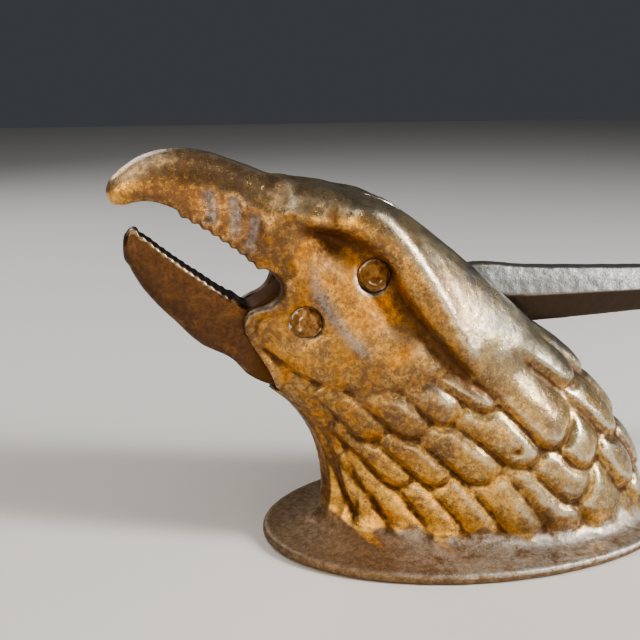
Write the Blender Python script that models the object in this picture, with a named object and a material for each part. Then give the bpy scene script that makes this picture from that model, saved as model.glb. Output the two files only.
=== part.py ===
"""Tabletop lever nutcracker: an eagle's head cast in iron, with a lever that swings its lower beak.

Four pieces: the hollow head casting with its oval foot, the lever casting that ends in the
lower beak, the rivet that the lever turns on, and the rivet that ties the cheeks at the eyes.

Sizes are millimetres, in a frame whose origin is the middle of the foot's underside: the beak
points to -X, the handle to +X, and Z is up. The head is placed on the stand at the end, so that
the origin of the finished part is the middle of its own footprint.
"""
import math

import bpy
import bmesh
import numpy as np
from mathutils import Vector

MM = 0.001

# Foot
FOOT_LENGTH = 127.0
FOOT_WIDTH = 76.0
FOOT_RIM = 3.0
FOOT_RIM_ROUND = 0.9
FOOT_RISE = 2.4
FOOT_SLOPE = 16.7
FOOT_SEGMENTS = 56

# Head casting
WALL = 4.0
CORE_TAPER = 0.22
HEAD_STATIONS = 200
HEAD_SIDE_POINTS = 76
HEAD_FACES = 6900

# Lever casting
JAW_WIDTH = 12.0
HUB_RADIUS = 9.4
ROOT_RADIUS = 21.2
HANDLE_END_X = 150.0
HANDLE_WIDTH = 11.4
HUB_STATIONS = 40
HANDLE_STATIONS = 22

# Running clearances
SIDE_GAP = 0.35
BORE_GAP = 0.3
SEAT_GAP = 0.3
SWING_GAP = 0.5

# Rivets
PIVOT_X, PIVOT_Z = -53.7, 67.4
PIVOT_SEAT = 13.2
PIVOT_SHANK = 6.0
EYE_X, EYE_Z = -35.7, 79.4
EYE_SEAT = 13.6
EYE_SHANK = 6.0
RIVET_HEAD = 8.0
RIVET_HEAD_HEIGHT = 1.5
RIVET_HEAD_EDGE = 0.4
SEAT_RELIEF = 0.45

# Teeth
BEAK_TOOTH_PITCH = 2.9
BEAK_TOOTH_DEPTH = 1.4
JAW_TOOTH_PITCH = 2.2
JAW_TOOTH_DEPTH = 0.4

# Opening stroke, degrees
STROKE = 28.0


# Head outline: each station runs from the underside (x, z) to the crest (x, z), with the half
# width, how far the widest place lies towards the crest (-1 to 1), and how full the section is
# below and above that place.
HEAD_OUTLINE = (
    ((-55.5, 2.2), (57.5, 2.2), 31.0, 0.12, 1.8, 2.1),
    ((-50.2, 4.6), (53.2, 5.0), 26.6, 0.18, 1.6, 2.1),
    ((-47.8, 8.0), (50.4, 9.5), 24.4, 0.20, 1.5, 2.1),
    ((-46.8, 14.0), (47.0, 19.0), 23.6, 0.20, 1.5, 2.1),
    ((-47.2, 22.0), (40.0, 31.5), 23.0, 0.18, 1.6, 2.1),
    ((-50.0, 32.0), (28.0, 46.5), 21.8, 0.18, 1.8, 2.1),
    ((-55.8, 41.0), (14.5, 59.8), 20.4, 0.24, 2.0, 2.1),
    ((-63.5, 47.6), (-1.6, 74.2), 18.8, 0.30, 2.0, 2.2),
    ((-72.0, 55.5), (-15.8, 86.0), 17.2, 0.38, 1.6, 2.2),
    ((-78.0, 65.5), (-29.5, 95.3), 15.4, 0.42, 1.6, 2.2),
    ((-80.0, 76.0), (-44.2, 100.9), 13.0, 0.42, 1.7, 2.1),
    ((-83.0, 84.0), (-57.0, 103.1), 10.2, 0.25, 2.0, 2.0),
    ((-86.5, 89.5), (-67.5, 107.1), 8.6, 0.05, 2.2, 2.0),
    ((-90.5, 93.4), (-77.0, 110.7), 7.5, 0.0, 2.3, 2.0),
    ((-94.5, 96.2), (-86.5, 111.5), 6.7, 0.0, 2.3, 2.0),
    ((-97.6, 97.3), (-94.0, 109.4), 5.7, 0.0, 2.1, 2.0),
    ((-99.6, 97.5), (-98.8, 106.2), 4.5, 0.0, 2.0, 2.0),
    ((-101.2, 98.3), (-101.3, 103.6), 2.9, 0.0, 2.0, 2.0),
    ((-102.1, 100.0), (-102.2, 101.6), 0.9, 0.0, 2.0, 2.0),
)

# Roof of the mouth: the smooth hook behind the beak's tip, the toothed edge, the round corner
# of the mouth, and the edge of the cheeks down to the throat.
HOOK_EDGE = ((-99.0, 96.9), (-95.2, 98.6), (-91.4, 98.9), (-87.7, 98.0), (-84.3, 96.4))
TOOTH_START = (-84.3, 96.4)
TOOTH_END = (-63.4, 81.2)
TOOTH_SAG = 1.1
MOUTH_CORNER = ((-61.6, 80.4), (-59.7, 78.3), (-59.1, 75.9), (-60.2, 73.3), (-62.6, 71.4))
CHEEK_EDGE = ((-65.6, 70.5), (-67.9, 69.2), (-68.9, 66.6), (-68.2, 62.9), (-65.6, 58.4), (-62.9, 53.8),
              (-60.9, 49.6), (-60.0, 46.4))

# Lever outline: lower edge (x, z), upper edge (x, z), half width as a share of the jaw or the
# handle, and which of the section shapes it has: 0 jaw, 1 hub, 2 handle. The handle's tip rounds
# off from the last station to its end: share of the way, of the depth and of the width.
JAW_OUTLINE = (
    ((-98.6, 87.9), (-98.2, 89.6), 0.22, 0.0),
    ((-98.7, 85.4), (-96.6, 91.4), 0.45, 0.0),
    ((-97.3, 81.6), (-94.0, 90.2), 0.58, 0.0),
    ((-93.6, 74.8), (-88.0, 85.4), 0.72, 0.0),
    ((-86.2, 66.3), (-79.7, 79.0), 0.86, 0.0),
    ((-79.0, 59.4), (-71.0, 72.9), 0.98, 0.3),
)
HANDLE_OUTLINE = (
    ((-21.0, 57.6), (-19.0, 73.6), 1.0, 1.9),
    ((-8.0, 60.6), (-6.0, 77.9), 1.0, 2.0),
    ((13.0, 60.8), (13.0, 76.8), 1.0, 2.0),
    ((60.0, 62.6), (60.0, 74.8), 0.97, 2.0),
    ((110.0, 63.8), (110.0, 74.2), 1.0, 2.0),
    ((136.0, 63.6), (136.0, 75.2), 1.06, 2.0),
    ((145.0, 64.6), (145.0, 74.6), 0.95, 2.0),
)
HANDLE_TIP = ((0.5, 0.87, 0.88), (0.85, 0.55, 0.60), (1.0, 0.18, 0.25))

# Root and hub of the lever, turned about the pivot: angle and share of the root's radius on the
# lower edge, angle and share of the hub's radius on the upper edge.
HUB_OUTLINE = ((214.0, 1.0, 166.0, 1.35), (228.0, 1.0, 140.0, 1.0), (246.0, 0.98, 105.0, 1.0),
               (262.0, 0.90, 70.0, 1.0), (282.0, 0.80, 32.0, 1.0))
NECK_DEPTH = 14.0

# Angles about the pivot over which the bay in the head follows the lever's root and its hub
ROOT_BAY = (185.0, 300.0)
HUB_BAY = (66.0, 150.0)

# Half sections of the lever, from the middle of the lower edge round one side to the middle of
# the upper edge: (height from -1 to 1, width from 0 to 1).
JAW_SECTION = ((-1.0, 0.0), (-0.97, 0.34), (-0.84, 0.62), (-0.58, 0.83), (-0.15, 0.96), (0.4, 1.0),
               (0.86, 1.0), (1.0, 0.94), (1.0, 0.0))
HUB_SECTION = ((-1.0, 0.0), (-1.0, 0.5), (-1.0, 0.84), (-0.9, 1.0), (-0.3, 1.0), (0.3, 1.0),
               (0.9, 1.0), (1.0, 0.84), (1.0, 0.0))
HANDLE_SECTION = ((-1.0, 0.0), (-1.0, 0.30), (-0.94, 0.50), (-0.7, 0.66), (-0.2, 0.88), (0.08, 1.0),
                  (0.6, 0.70), (1.0, 0.42), (1.0, 0.0))

# Crest slot that the lever leaves through
SLOT_FRONT = (-31.5, 96.6)
SLOT_SIDE_GAP = 1.1

# Lines of the face, drawn in the side view
BROW_GROOVE = ((-57.5, 94.2), (-52.8, 91.8), (-47.7, 90.6), (-43.6, 89.8), (-39.6, 87.8), (-36.2, 85.2),
               (-33.2, 81.9), (-31.4, 78.4), (-29.6, 75.0), (-27.0, 71.2), (-24.2, 67.4), (-20.8, 63.2),
               (-17.0, 58.8), (-13.2, 54.4), (-9.4, 50.6), (-4.6, 48.4), (1.6, 47.2), (7.0, 42.6),
               (15.4, 35.4))
HOOD_REAR = ((-9.4, 50.6), (-4.6, 50.6), (1.6, 53.0), (9.0, 58.0), (18.0, 64.0))
HOOD_RIDGE = ((-44.0, 95.6), (-36.5, 93.4), (-31.2, 88.6), (-25.0, 80.1), (-19.8, 72.2), (-14.4, 62.9),
              (-10.3, 56.4), (-7.0, 52.4))
SOCKET_LINE = ((-54.6, 91.0), (-50.4, 88.6), (-46.0, 86.2), (-41.6, 83.0), (-37.4, 78.4), (-33.4, 72.6),
               (-29.0, 66.0), (-24.0, 60.0))
BAND = ((-64.6, 80.6), (-64.0, 84.6), (-63.4, 88.2), (-61.8, 92.0), (-58.6, 95.0), (-54.7, 96.8),
        (-50.2, 97.7), (-46.0, 97.6))
CHEEKBONE = ((-54.4, 87.6), (-53.2, 83.4), (-51.4, 77.9), (-48.6, 72.4), (-45.2, 67.0), (-40.6, 61.4),
             (-35.6, 57.8), (-30.4, 55.0))
CHEEK_LOWER = ((-62.0, 58.6), (-59.0, 56.0), (-54.5, 52.6), (-49.6, 50.6), (-46.0, 49.4), (-39.5, 48.8),
               (-34.8, 48.3), (-29.7, 49.0), (-24.6, 50.6), (-20.5, 52.4), (-15.0, 55.0))
WRINKLES = (((-77.6, 102.6), (-76.4, 97.6), (-76.6, 92.4)), ((-71.4, 101.6), (-70.4, 95.4), (-71.0, 88.6)),
            ((-65.4, 97.0), (-66.2, 91.2), (-67.6, 85.0)))
BEAK_CREASE = ((-48.6, 97.4), (-47.0, 95.2), (-46.0, 91.8))
BROW_KNOB = (-42.8, 94.2)
SOCKET_CORNER = (-48.8, 87.0)
PINCH = (-65.0, 80.0)

# Heights and depths of the relief
HEAD_HEIGHT = 1.25
HOOD_HEIGHT = 1.5
HOOD_RIDGE_HEIGHT = 1.2
HOOD_ARRIS_HEIGHT = 0.9
BROW_DEPTH = 2.0
SOCKET_DEPTH = 2.8
SOCKET_CORNER_DEPTH = 2.2
CHEEKBONE_HEIGHT = 0.8
PIVOT_DIP = 1.0
BAND_HEIGHT = 1.0
KNOB_HEIGHT = 1.5
CREASE_DEPTH = 0.7
PINCH_DEPTH = 3.6
CHEEK_LINE_DEPTH = 0.7
WRINKLE_DEPTH = 0.9
LIP_HEIGHT = 0.7
STREAK_PITCH = 5.2
STREAK_HEIGHT = 0.3

# Rows of feathers from the foot up, each over the roots of the row below it. On the side: root
# (x, z), tip (x, z), width, height. Round the back: distance of the tip from the middle of the
# nape, height of root and tip on the side.
FEATHER_ROWS = (
    (
        (((-46.0, 29.0), (-38.6, 2.5), 7.0, 1.1), ((-42.0, 29.0), (-24.8, 3.6), 9.8, 2.0),
         ((-35.5, 32.0), (-13.4, 5.6), 10.6, 2.2), ((-23.0, 28.0), (-3.4, 6.6), 11.2, 2.3),
         ((-12.0, 29.0), (8.6, 6.4), 12.4, 2.4), ((1.0, 30.0), (20.6, 6.0), 12.6, 2.4),
         ((13.0, 31.0), (34.0, 5.6), 12.8, 2.4)),
        ((11.0, 22.0, 4.0), (0.0, 22.0, 4.0)),
    ),
    (
        (((-44.6, 39.0), (-25.6, 20.8), 10.6, 2.2), ((-34.6, 38.0), (-15.8, 22.0), 10.8, 2.4),
         ((-25.0, 41.0), (-3.4, 23.2), 12.4, 2.7), ((3.0, 35.0), (23.6, 15.4), 13.0, 2.5)),
        ((16.0, 34.0, 13.0), (4.5, 34.0, 13.0)),
    ),
    (
        (((-15.8, 45.4), (8.6, 28.2), 12.8, 2.9), ((6.0, 45.0), (26.6, 24.4), 12.8, 2.8)),
        ((12.0, 46.0, 26.0), (0.0, 46.0, 26.0)),
    ),
    (
        (((-49.0, 50.5), (-33.8, 34.6), 11.8, 2.1), ((-41.0, 52.5), (-22.8, 36.8), 11.8, 2.3),
         ((-29.5, 53.0), (-15.0, 40.4), 9.8, 2.3), ((-21.0, 56.0), (-3.6, 44.0), 9.8, 2.4),
         ((-6.0, 54.0), (16.4, 31.4), 13.0, 3.0)),
        ((13.0, 60.0, 41.0), (2.0, 56.0, 39.0)),
    ),
)
REAR_WIDTH = 12.6
REAR_HEIGHT = 2.7
CREVICE_DEPTH = 0.7
CREVICE_WIDTH = 0.9
RELIEF_WEAR = 2


def smooth(low, high, value):
    """Rise from 0 at low to 1 at high without a corner."""
    t = np.clip((value - low) / (high - low), 0.0, 1.0)
    return t * t * (3.0 - 2.0 * t)


def curve_through(knots, points, where):
    """Smooth curve through points, read at the places in where."""
    knots = np.asarray(knots, float)
    points = np.asarray(points, float)
    slopes = np.gradient(points, knots, axis=0)
    index = np.clip(np.searchsorted(knots, where, side="right") - 1, 0, len(knots) - 2)
    step = knots[index + 1] - knots[index]
    t = (where - knots[index]) / step
    if points.ndim > 1:
        t = t[:, None]
        step = step[:, None]
    h00 = 2 * t ** 3 - 3 * t ** 2 + 1
    h10 = t ** 3 - 2 * t ** 2 + t
    h01 = -2 * t ** 3 + 3 * t ** 2
    h11 = t ** 3 - t ** 2
    return (h00 * points[index] + h10 * step * slopes[index]
            + h01 * points[index + 1] + h11 * step * slopes[index + 1])


def chord_lengths(points):
    """Running length along a row of points, starting at 0."""
    steps = np.linalg.norm(np.diff(np.asarray(points, float), axis=0), axis=1)
    return np.concatenate(([0.0], np.cumsum(steps)))


def curved_outline(points, per_span=3):
    """Points along a smooth open curve through the given ones."""
    knots = chord_lengths(points)
    where = np.interp(np.linspace(0, len(points) - 1, per_span * (len(points) - 1) + 1),
                      np.arange(len(points)), knots)
    return [tuple(point) for point in curve_through(knots, points, where)]


def beside(line, x, z):
    """Signed distance of points from a line of the side view, positive above it, and the share along it."""
    line = np.array(curved_outline(line))
    run_lengths = chord_lengths(line)
    nearest = np.full(x.shape, np.inf)
    signed = np.zeros(x.shape)
    share_along = np.zeros(x.shape)
    for index, (start, end) in enumerate(zip(line[:-1], line[1:])):
        run = end - start
        length = np.linalg.norm(run)
        share = np.clip(((x - start[0]) * run[0] + (z - start[1]) * run[1]) / length ** 2, 0.0, 1.0)
        distance = np.hypot(x - start[0] - share * run[0], z - start[1] - share * run[1])
        above = ((z - start[1]) * run[0] - (x - start[0]) * run[1]) >= 0.0
        closer = distance < nearest
        nearest = np.where(closer, distance, nearest)
        signed = np.where(closer, np.where(above, distance, -distance), signed)
        share_along = np.where(closer, (run_lengths[index] + share * length) / run_lengths[-1], share_along)
    return signed, share_along


def ridge(line, x, z, height, above, below, fade=0.12):
    """A rounded ridge along a line: its height, and its width on each side; it dies out at the ends."""
    distance, share = beside(line, x, z)
    width = np.where(distance >= 0.0, above, below)
    ends = smooth(0.0, fade, share) * smooth(0.0, fade, 1.0 - share)
    return height * np.exp(-(distance / width) ** 2) * ends


def bump(x, z, centre, length, width, height):
    """A round rise in the side view, or a hollow where the height is below 0."""
    return height * np.exp(-((x - centre[0]) / length) ** 2 - ((z - centre[1]) / width) ** 2)


def head_rails(count, first=0, last=len(HEAD_OUTLINE) - 1):
    """Underside, crest, half width and section shape at evenly spread stations."""
    lower = np.array([station[0] for station in HEAD_OUTLINE])
    upper = np.array([station[1] for station in HEAD_OUTLINE])
    shape = np.array([station[2:] for station in HEAD_OUTLINE])
    knots = chord_lengths((lower + upper) / 2 + (upper - lower) * 0.15)
    where = np.linspace(knots[first], knots[last], count)
    return (curve_through(knots, lower, where), curve_through(knots, upper, where),
            curve_through(knots, shape, where), where)


def half_section(peak, low_power, high_power, samples=160):
    """One side of an egg-shaped section as (height from -1 to 1, width from 0 to 1)."""
    angle = np.linspace(0.0, math.pi, samples)
    lower = angle < math.pi / 2
    power = np.where(lower, low_power, high_power)
    reach = np.where(lower, 1.0 + peak, 1.0 - peak)
    along = np.abs(np.cos(angle)) ** (2.0 / power)
    width = np.abs(np.sin(angle)) ** (2.0 / power)
    return peak + np.where(lower, -1.0, 1.0) * reach * along, width


def head_grid(count, side_points, inset=0.0, front_limit=None, first=0, last=len(HEAD_OUTLINE) - 1):
    """Rings of points round the head, from the underside over the near side to the crest and back.

    Also gives each point's distance round the section from the crest and from the underside.
    A front limit draws the underside of the rings in the head back to that x.
    """
    lower, upper, shape, _ = head_rails(count, first, last)
    rings = []
    from_crest = []
    from_keel = []
    for low, high, (half_width, peak, low_power, high_power) in zip(lower, upper, shape):
        chord = high - low
        length = np.linalg.norm(chord)
        along = chord / length
        low_inset = inset
        if front_limit is not None:
            in_head = float(smooth(30.0, 56.0, low[1]))
            low_inset = max(inset, in_head * (front_limit - low[0]) / along[0])
        low = low + along * low_inset
        high = high - along * inset
        length = max(length - low_inset - inset, 1.0)
        half_width = max(half_width - inset, 0.5)
        heights, widths = half_section(peak, low_power, high_power)
        heights = (heights + 1.0) / 2.0 * length
        widths = widths * half_width
        run = chord_lengths(np.stack([heights, widths], axis=1))
        marks = np.linspace(0.0, run[-1], side_points + 1)
        h = np.interp(marks, run, heights)
        w = np.interp(marks, run, widths)
        near = [(low[0] + along[0] * a, -b, low[1] + along[1] * a) for a, b in zip(h, w)]
        far = [(x, -y, z) for x, y, z in near[-2:0:-1]]
        rings.append(near + far)
        back = list(run[-1] - marks)
        front = list(marks)
        from_crest.append(back + back[-2:0:-1])
        from_keel.append(front + front[-2:0:-1])
    return np.array(rings), np.array(from_crest), np.array(from_keel)


def grid_normals(rings):
    """Outward directions at the points of a grid of rings."""
    along = np.gradient(rings, axis=0)
    around = np.roll(rings, -1, axis=1) - np.roll(rings, 1, axis=1)
    normal = np.cross(around, along)
    size = np.linalg.norm(normal, axis=2, keepdims=True)
    return normal / np.maximum(size, 1e-9)


def one_feather(points, normals, root, tip, width, height, bend=1.2):
    """A tongue-shaped feather on the skin: its height, 0 outside it, and the crevice round it."""
    run = tip - root
    length = np.linalg.norm(run)
    along = run / length
    middle = np.argmin(np.sum((points - (root + tip) / 2) ** 2, axis=-1))
    out = normals.reshape(-1, 3)[middle]
    out = out - along * (out @ along)
    out = out / np.linalg.norm(out)
    across = np.cross(out, along)
    offset = points - root
    reach = offset @ along
    share = reach / length
    t = offset @ across - bend * (1.0 - (2.0 * share - 1.0) ** 2)
    half = width / 2 * (0.80 + 0.20 * smooth(0.0, 0.7, share))
    beyond = np.maximum(reach - (length - width * 0.6), 0.0) / 1.2
    within = half - np.hypot(t, beyond)
    near = (np.abs(offset @ out) < 12.0) & (share > 0.0)
    fill = np.clip(within / half, 0.0, 1.0)
    pillow = 0.72 * fill * (2.0 - fill) + 0.28 * smooth(0.0, 0.3, fill)
    rise = 0.35 + 0.65 * smooth(0.05, 0.8, share)
    body = np.where(near & (within > 0.0), height * rise * pillow + 0.35, 0.0)
    crevice = np.where(near, np.exp(-((within + 0.4) / CREVICE_WIDTH) ** 2) * smooth(0.08, 0.4, share), 0.0)
    return body, crevice


def feather_relief(rings, normals, from_crest):
    """Overlapping feathers of the neck, each row over the roots of the one below; both sides are alike."""
    folded = rings * (1.0, 1.0, 1.0)
    mirror = folded[..., 1] > 0.0
    folded[..., 1] = -np.abs(folded[..., 1])
    out = normals * (1.0, 1.0, 1.0)
    out[..., 1] = np.where(mirror, -out[..., 1], out[..., 1])
    side_points = rings.shape[1] // 2 + 1
    near = folded[:, :side_points]
    side_height = z_on_side(rings)

    def on_side(place):
        gap = (near[..., 0] - place[0]) ** 2 + (near[..., 2] - place[1]) ** 2
        row, column = np.unravel_index(np.argmin(gap), gap.shape)
        return near[row, column]

    def on_nape(reach, height):
        row = np.argmin(np.abs(side_height[:, 0] - height))
        column = np.argmin(np.abs(from_crest[row, :side_points] - reach))
        return near[row, column]

    relief = np.zeros(rings.shape[:2])
    for side_row, nape_row in FEATHER_ROWS:
        row = [(on_side(root), on_side(tip), width, height) for root, tip, width, height in side_row]
        row += [(on_nape(reach + 5.0, high), on_nape(reach, low), REAR_WIDTH, REAR_HEIGHT)
                for reach, high, low in nape_row]
        for root, tip, width, height in row:
            body, crevice = one_feather(folded, out, root, tip, width, height)
            relief = np.where(body > 0.0, body + 0.3, relief - CREVICE_DEPTH * crevice)
    return relief


def worn(relief, rounds):
    """Relief evened out over neighbouring points, as wear and the sand mould leave it."""
    for _ in range(rounds):
        beside_it = (np.roll(relief, 1, axis=1) + np.roll(relief, -1, axis=1)) / 2
        before = np.concatenate((relief[:1], relief[:-1]))
        after = np.concatenate((relief[1:], relief[-1:]))
        relief = relief / 2 + beside_it / 4 + (before + after) / 8
    return relief


def head_relief(rings, normals, from_crest, from_keel):
    """How far the modelled head stands out from its plain form at each point."""
    x = rings[..., 0]
    z = rings[..., 2]
    side = smooth(0.12, 0.55, np.abs(normals[..., 1]))
    over_brow, _ = beside(BROW_GROOVE, x, z)
    over_rear, _ = beside(HOOD_REAR, x, z)
    soft = smooth(-12.0, 0.0, x)
    over_edge = over_rear * soft + over_brow * (1.0 - soft)
    hood = smooth(-0.5, 1.3, over_brow) * smooth(-61.0, -56.0, x)
    hood = np.where(x > -12.0, smooth(-0.5 - 4.5 * soft, 1.3 + 4.7 * soft, over_edge), hood)
    over_cheek, _ = beside(CHEEK_LOWER, x, z)
    face = smooth(-0.6, 1.0, over_cheek) * smooth(-8.0, -14.0, x)
    head = np.maximum(face, hood)

    relief = feather_relief(rings, normals, from_crest) * (1.0 - head)
    relief *= smooth(2.6, 12.0, z) * smooth(4.0, 10.0, from_keel)
    throat = smooth(26.0, 8.0, from_keel) * smooth(47.0, 40.0, z) * smooth(3.0, 12.0, z) * (1.0 - head)
    relief += STREAK_HEIGHT * np.cos(from_keel * 2 * math.pi / STREAK_PITCH + 0.9) * throat

    form = head * HEAD_HEIGHT * smooth(-84.0, -62.0, x) + hood * HOOD_HEIGHT
    form += ridge(HOOD_RIDGE, x, z, HOOD_RIDGE_HEIGHT, 7.0, 4.2, 0.15)
    form += ridge(HOOD_RIDGE, x, z, HOOD_ARRIS_HEIGHT, 2.4, 2.8, 0.15)
    form -= ridge(BROW_GROOVE[:16], x, z, BROW_DEPTH, 0.9, 3.4, 0.06)
    form -= ridge(SOCKET_LINE, x, z, SOCKET_DEPTH, 5.0, 5.6, 0.25) * (1.0 - hood)
    form -= bump(x, z, SOCKET_CORNER, 4.2, 3.8, SOCKET_CORNER_DEPTH)
    form += ridge(CHEEKBONE, x, z, CHEEKBONE_HEIGHT, 2.8, 3.6, 0.2)
    form -= bump(x, z, (PIVOT_X, PIVOT_Z), 6.5, 6.5, PIVOT_DIP)
    form += ridge(BAND, x, z, BAND_HEIGHT, 2.0, 2.2, 0.14)
    form += bump(x, z, BROW_KNOB, 2.8, 2.2, KNOB_HEIGHT)
    form -= ridge(BEAK_CREASE, x, z, CREASE_DEPTH, 1.2, 1.2, 0.3)
    form -= bump(x, z, PINCH, 9.0, 11.0, PINCH_DEPTH) * smooth(-54.0, -60.0, x)
    form -= ridge(CHEEK_LOWER, x, z, CHEEK_LINE_DEPTH, 1.2, 2.2, 0.1)
    for line in WRINKLES:
        form -= ridge(line, x, z, WRINKLE_DEPTH, 1.4, 1.9, 0.3)
    lip = tuple((px + 1.0, pz - 0.6) for px, pz in MOUTH_CORNER + CHEEK_EDGE)
    form += ridge(lip, x, z, LIP_HEIGHT, 1.3, 1.5, 0.08)
    return worn(relief + form * side, RELIEF_WEAR)


def z_on_side(rings):
    """Height of each ring where it passes the widest place, repeated round the ring."""
    widest = np.argmax(np.abs(rings[..., 1]), axis=1)
    heights = rings[np.arange(len(rings)), widest, 2]
    return np.repeat(heights[:, None], rings.shape[1], axis=1)


def mesh_object(name, vertices, faces, material=None):
    """A mesh object from millimetre coordinates, with its faces turned outwards."""
    mesh = bpy.data.meshes.new(name)
    body = bmesh.new()
    corners = [body.verts.new(Vector(point) * MM) for point in vertices]
    for face in faces:
        body.faces.new([corners[i] for i in face])
    bmesh.ops.recalc_face_normals(body, faces=body.faces)
    body.to_mesh(mesh)
    body.free()
    obj = bpy.data.objects.new(name, mesh)
    bpy.context.scene.collection.objects.link(obj)
    if material is not None:
        mesh.materials.append(material)
        mesh.shade_smooth()
        mesh.set_sharp_from_angle(angle=math.radians(38.0))
    return obj


def ring_faces(rows, columns, closed_ends=True):
    """Quads between rings of points, with a cap at each end."""
    faces = []
    for row in range(rows - 1):
        for column in range(columns):
            after = (column + 1) % columns
            faces.append((row * columns + column, row * columns + after,
                          (row + 1) * columns + after, (row + 1) * columns + column))
    if closed_ends:
        faces.append(tuple(range(columns)))
        faces.append(tuple((rows - 1) * columns + column for column in range(columns)))
    return faces


def as_cutter(obj):
    """Keep a shape as a tool for the others, outside the part itself."""
    obj.hide_render = True
    obj.display_type = 'WIRE'
    return obj


def slab(name, outline, half_width):
    """A cutter: an outline in the side view, as thick as twice the half width."""
    count = len(outline)
    vertices = [(x, -half_width, z) for x, z in outline] + [(x, half_width, z) for x, z in outline]
    faces = [tuple(range(count)), tuple(range(2 * count - 1, count - 1, -1))]
    faces += [(i, (i + 1) % count, count + (i + 1) % count, count + i) for i in range(count)]
    return as_cutter(mesh_object(name, vertices, faces))


def turned(name, profile, centre, segments, material=None):
    """A solid turned about a line along Y: profile is (radius, y) from one end to the other."""
    vertices = []
    for radius, y in profile:
        for step in range(segments):
            angle = 2 * math.pi * step / segments
            vertices.append((centre[0] + radius * math.cos(angle), y, centre[1] + radius * math.sin(angle)))
    return mesh_object(name, vertices, ring_faces(len(profile), segments), material)


def boolean(obj, cutter, operation):
    """Add a Boolean of one shape on another."""
    modifier = obj.modifiers.new(cutter.name, 'BOOLEAN')
    modifier.object = cutter
    modifier.operation = operation
    modifier.solver = 'EXACT'


def thin_out(obj, share):
    """Keep this share of the faces, where the form needs them most, alike on both sides."""
    modifier = obj.modifiers.new("thin_out", 'DECIMATE')
    modifier.ratio = min(share, 1.0)
    modifier.use_symmetry = True
    modifier.symmetry_axis = 'Y'


def iron(name, colour, roughness, metallic):
    """A cast metal finish."""
    material = bpy.data.materials.new(name)
    material.use_nodes = True
    shader = material.node_tree.nodes["Principled BSDF"]
    shader.inputs["Base Color"].default_value = (*colour, 1.0)
    shader.inputs["Roughness"].default_value = roughness
    shader.inputs["Metallic"].default_value = metallic
    material.diffuse_color = (*colour, 1.0)
    return material


def foot_disc():
    """The oval foot, thin at its rim and rising gently to the neck."""
    corner = FOOT_RIM_ROUND * (1 - math.sin(math.pi / 4))
    profile = [(FOOT_RIM_ROUND, 0.0), (corner, corner), (0.0, FOOT_RIM_ROUND),
               (0.0, FOOT_RIM - FOOT_RIM_ROUND), (corner, FOOT_RIM - corner), (FOOT_RIM_ROUND, FOOT_RIM)]
    for share in (1 / 3, 2 / 3, 1.0):
        profile.append((FOOT_RIM_ROUND + FOOT_SLOPE * share, FOOT_RIM + FOOT_RISE * share ** 2))
    vertices = []
    for inset, z in profile:
        for step in range(FOOT_SEGMENTS):
            angle = 2 * math.pi * step / FOOT_SEGMENTS
            vertices.append(((FOOT_LENGTH / 2 - inset) * math.cos(angle),
                             (FOOT_WIDTH / 2 - inset) * math.sin(angle), z))
    return as_cutter(mesh_object("foot_disc", vertices, ring_faces(len(profile), FOOT_SEGMENTS)))


def head_cavity():
    """The core of the casting, open underneath, that leaves the wall all round."""
    rings, _, _ = head_grid(22, 12, inset=WALL, front_limit=PIVOT_X + HUB_RADIUS + 1.0, last=9)
    rings[..., 1] *= 1.0 - CORE_TAPER * smooth(52.0, 66.0, rings[..., 2])
    rings[0] = rings[1]
    rings[0, :, 2] = -FOOT_RIM
    columns = rings.shape[1]
    return as_cutter(mesh_object("head_cavity", rings.reshape(-1, 3), ring_faces(len(rings), columns)))


def toothed_line(start, end, sag, pitch, depth):
    """A row of round teeth that hang from a shallow arc between two points."""
    start = np.array(start)
    end = np.array(end)
    length = np.linalg.norm(end - start)
    along = (end - start) / length
    across = np.array((along[1], -along[0]))
    if across[1] > 0:
        across = -across
    teeth = max(int(round(length / pitch)), 1)
    points = []
    for step in range(teeth * 4 + 1):
        share = step / (teeth * 4)
        bow = sag * 4 * share * (1 - share)
        hang = depth * abs(math.sin(math.pi * share * teeth)) ** 0.7
        points.append(tuple(start + along * length * share + across * (bow + hang)))
    return points


def mouth_cutter():
    """What lies between the upper beak and the front edge of the cheeks, right through the head."""
    teeth = toothed_line(TOOTH_START, TOOTH_END, -TOOTH_SAG, BEAK_TOOTH_PITCH, BEAK_TOOTH_DEPTH)
    outline = curved_outline(HOOK_EDGE)[:-1] + teeth + curved_outline(MOUTH_CORNER + CHEEK_EDGE, 2)
    front = PIVOT_X - 60.0
    throat = CHEEK_EDGE[-1]
    outline += [(throat[0] - 6.0, throat[1] - 1.5), (front, 30.0), (front, HOOK_EDGE[0][1] - 4.0)]
    return slab("mouth_cut", outline, FOOT_WIDTH)


def polar(centre, radius, angle):
    """Point in the side view at an angle in degrees from a centre."""
    turn = math.radians(angle)
    return (centre[0] + radius * math.cos(turn), centre[1] + radius * math.sin(turn))


def arc(centre, radius, first, last, steps):
    """Points on an arc in the side view, angles in degrees."""
    return [polar(centre, radius, first + (last - first) * i / steps) for i in range(steps + 1)]


def jaw_bay():
    """The gap between the cheeks that the root of the lower beak swings in, up to the hollow head."""
    pivot = (PIVOT_X, PIVOT_Z)
    outline = arc(pivot, ROOT_RADIUS + SWING_GAP, *ROOT_BAY, 16)
    outline += [(EYE_X + 2.0, 52.0), (EYE_X + 6.0, PIVOT_Z), (EYE_X + 6.0, EYE_Z + 5.0),
                (EYE_X - 5.0, EYE_Z + 5.0)]
    outline += arc(pivot, HUB_RADIUS + SWING_GAP, *HUB_BAY, 10)
    return slab("jaw_bay", outline, JAW_WIDTH / 2 + SIDE_GAP)


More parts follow.
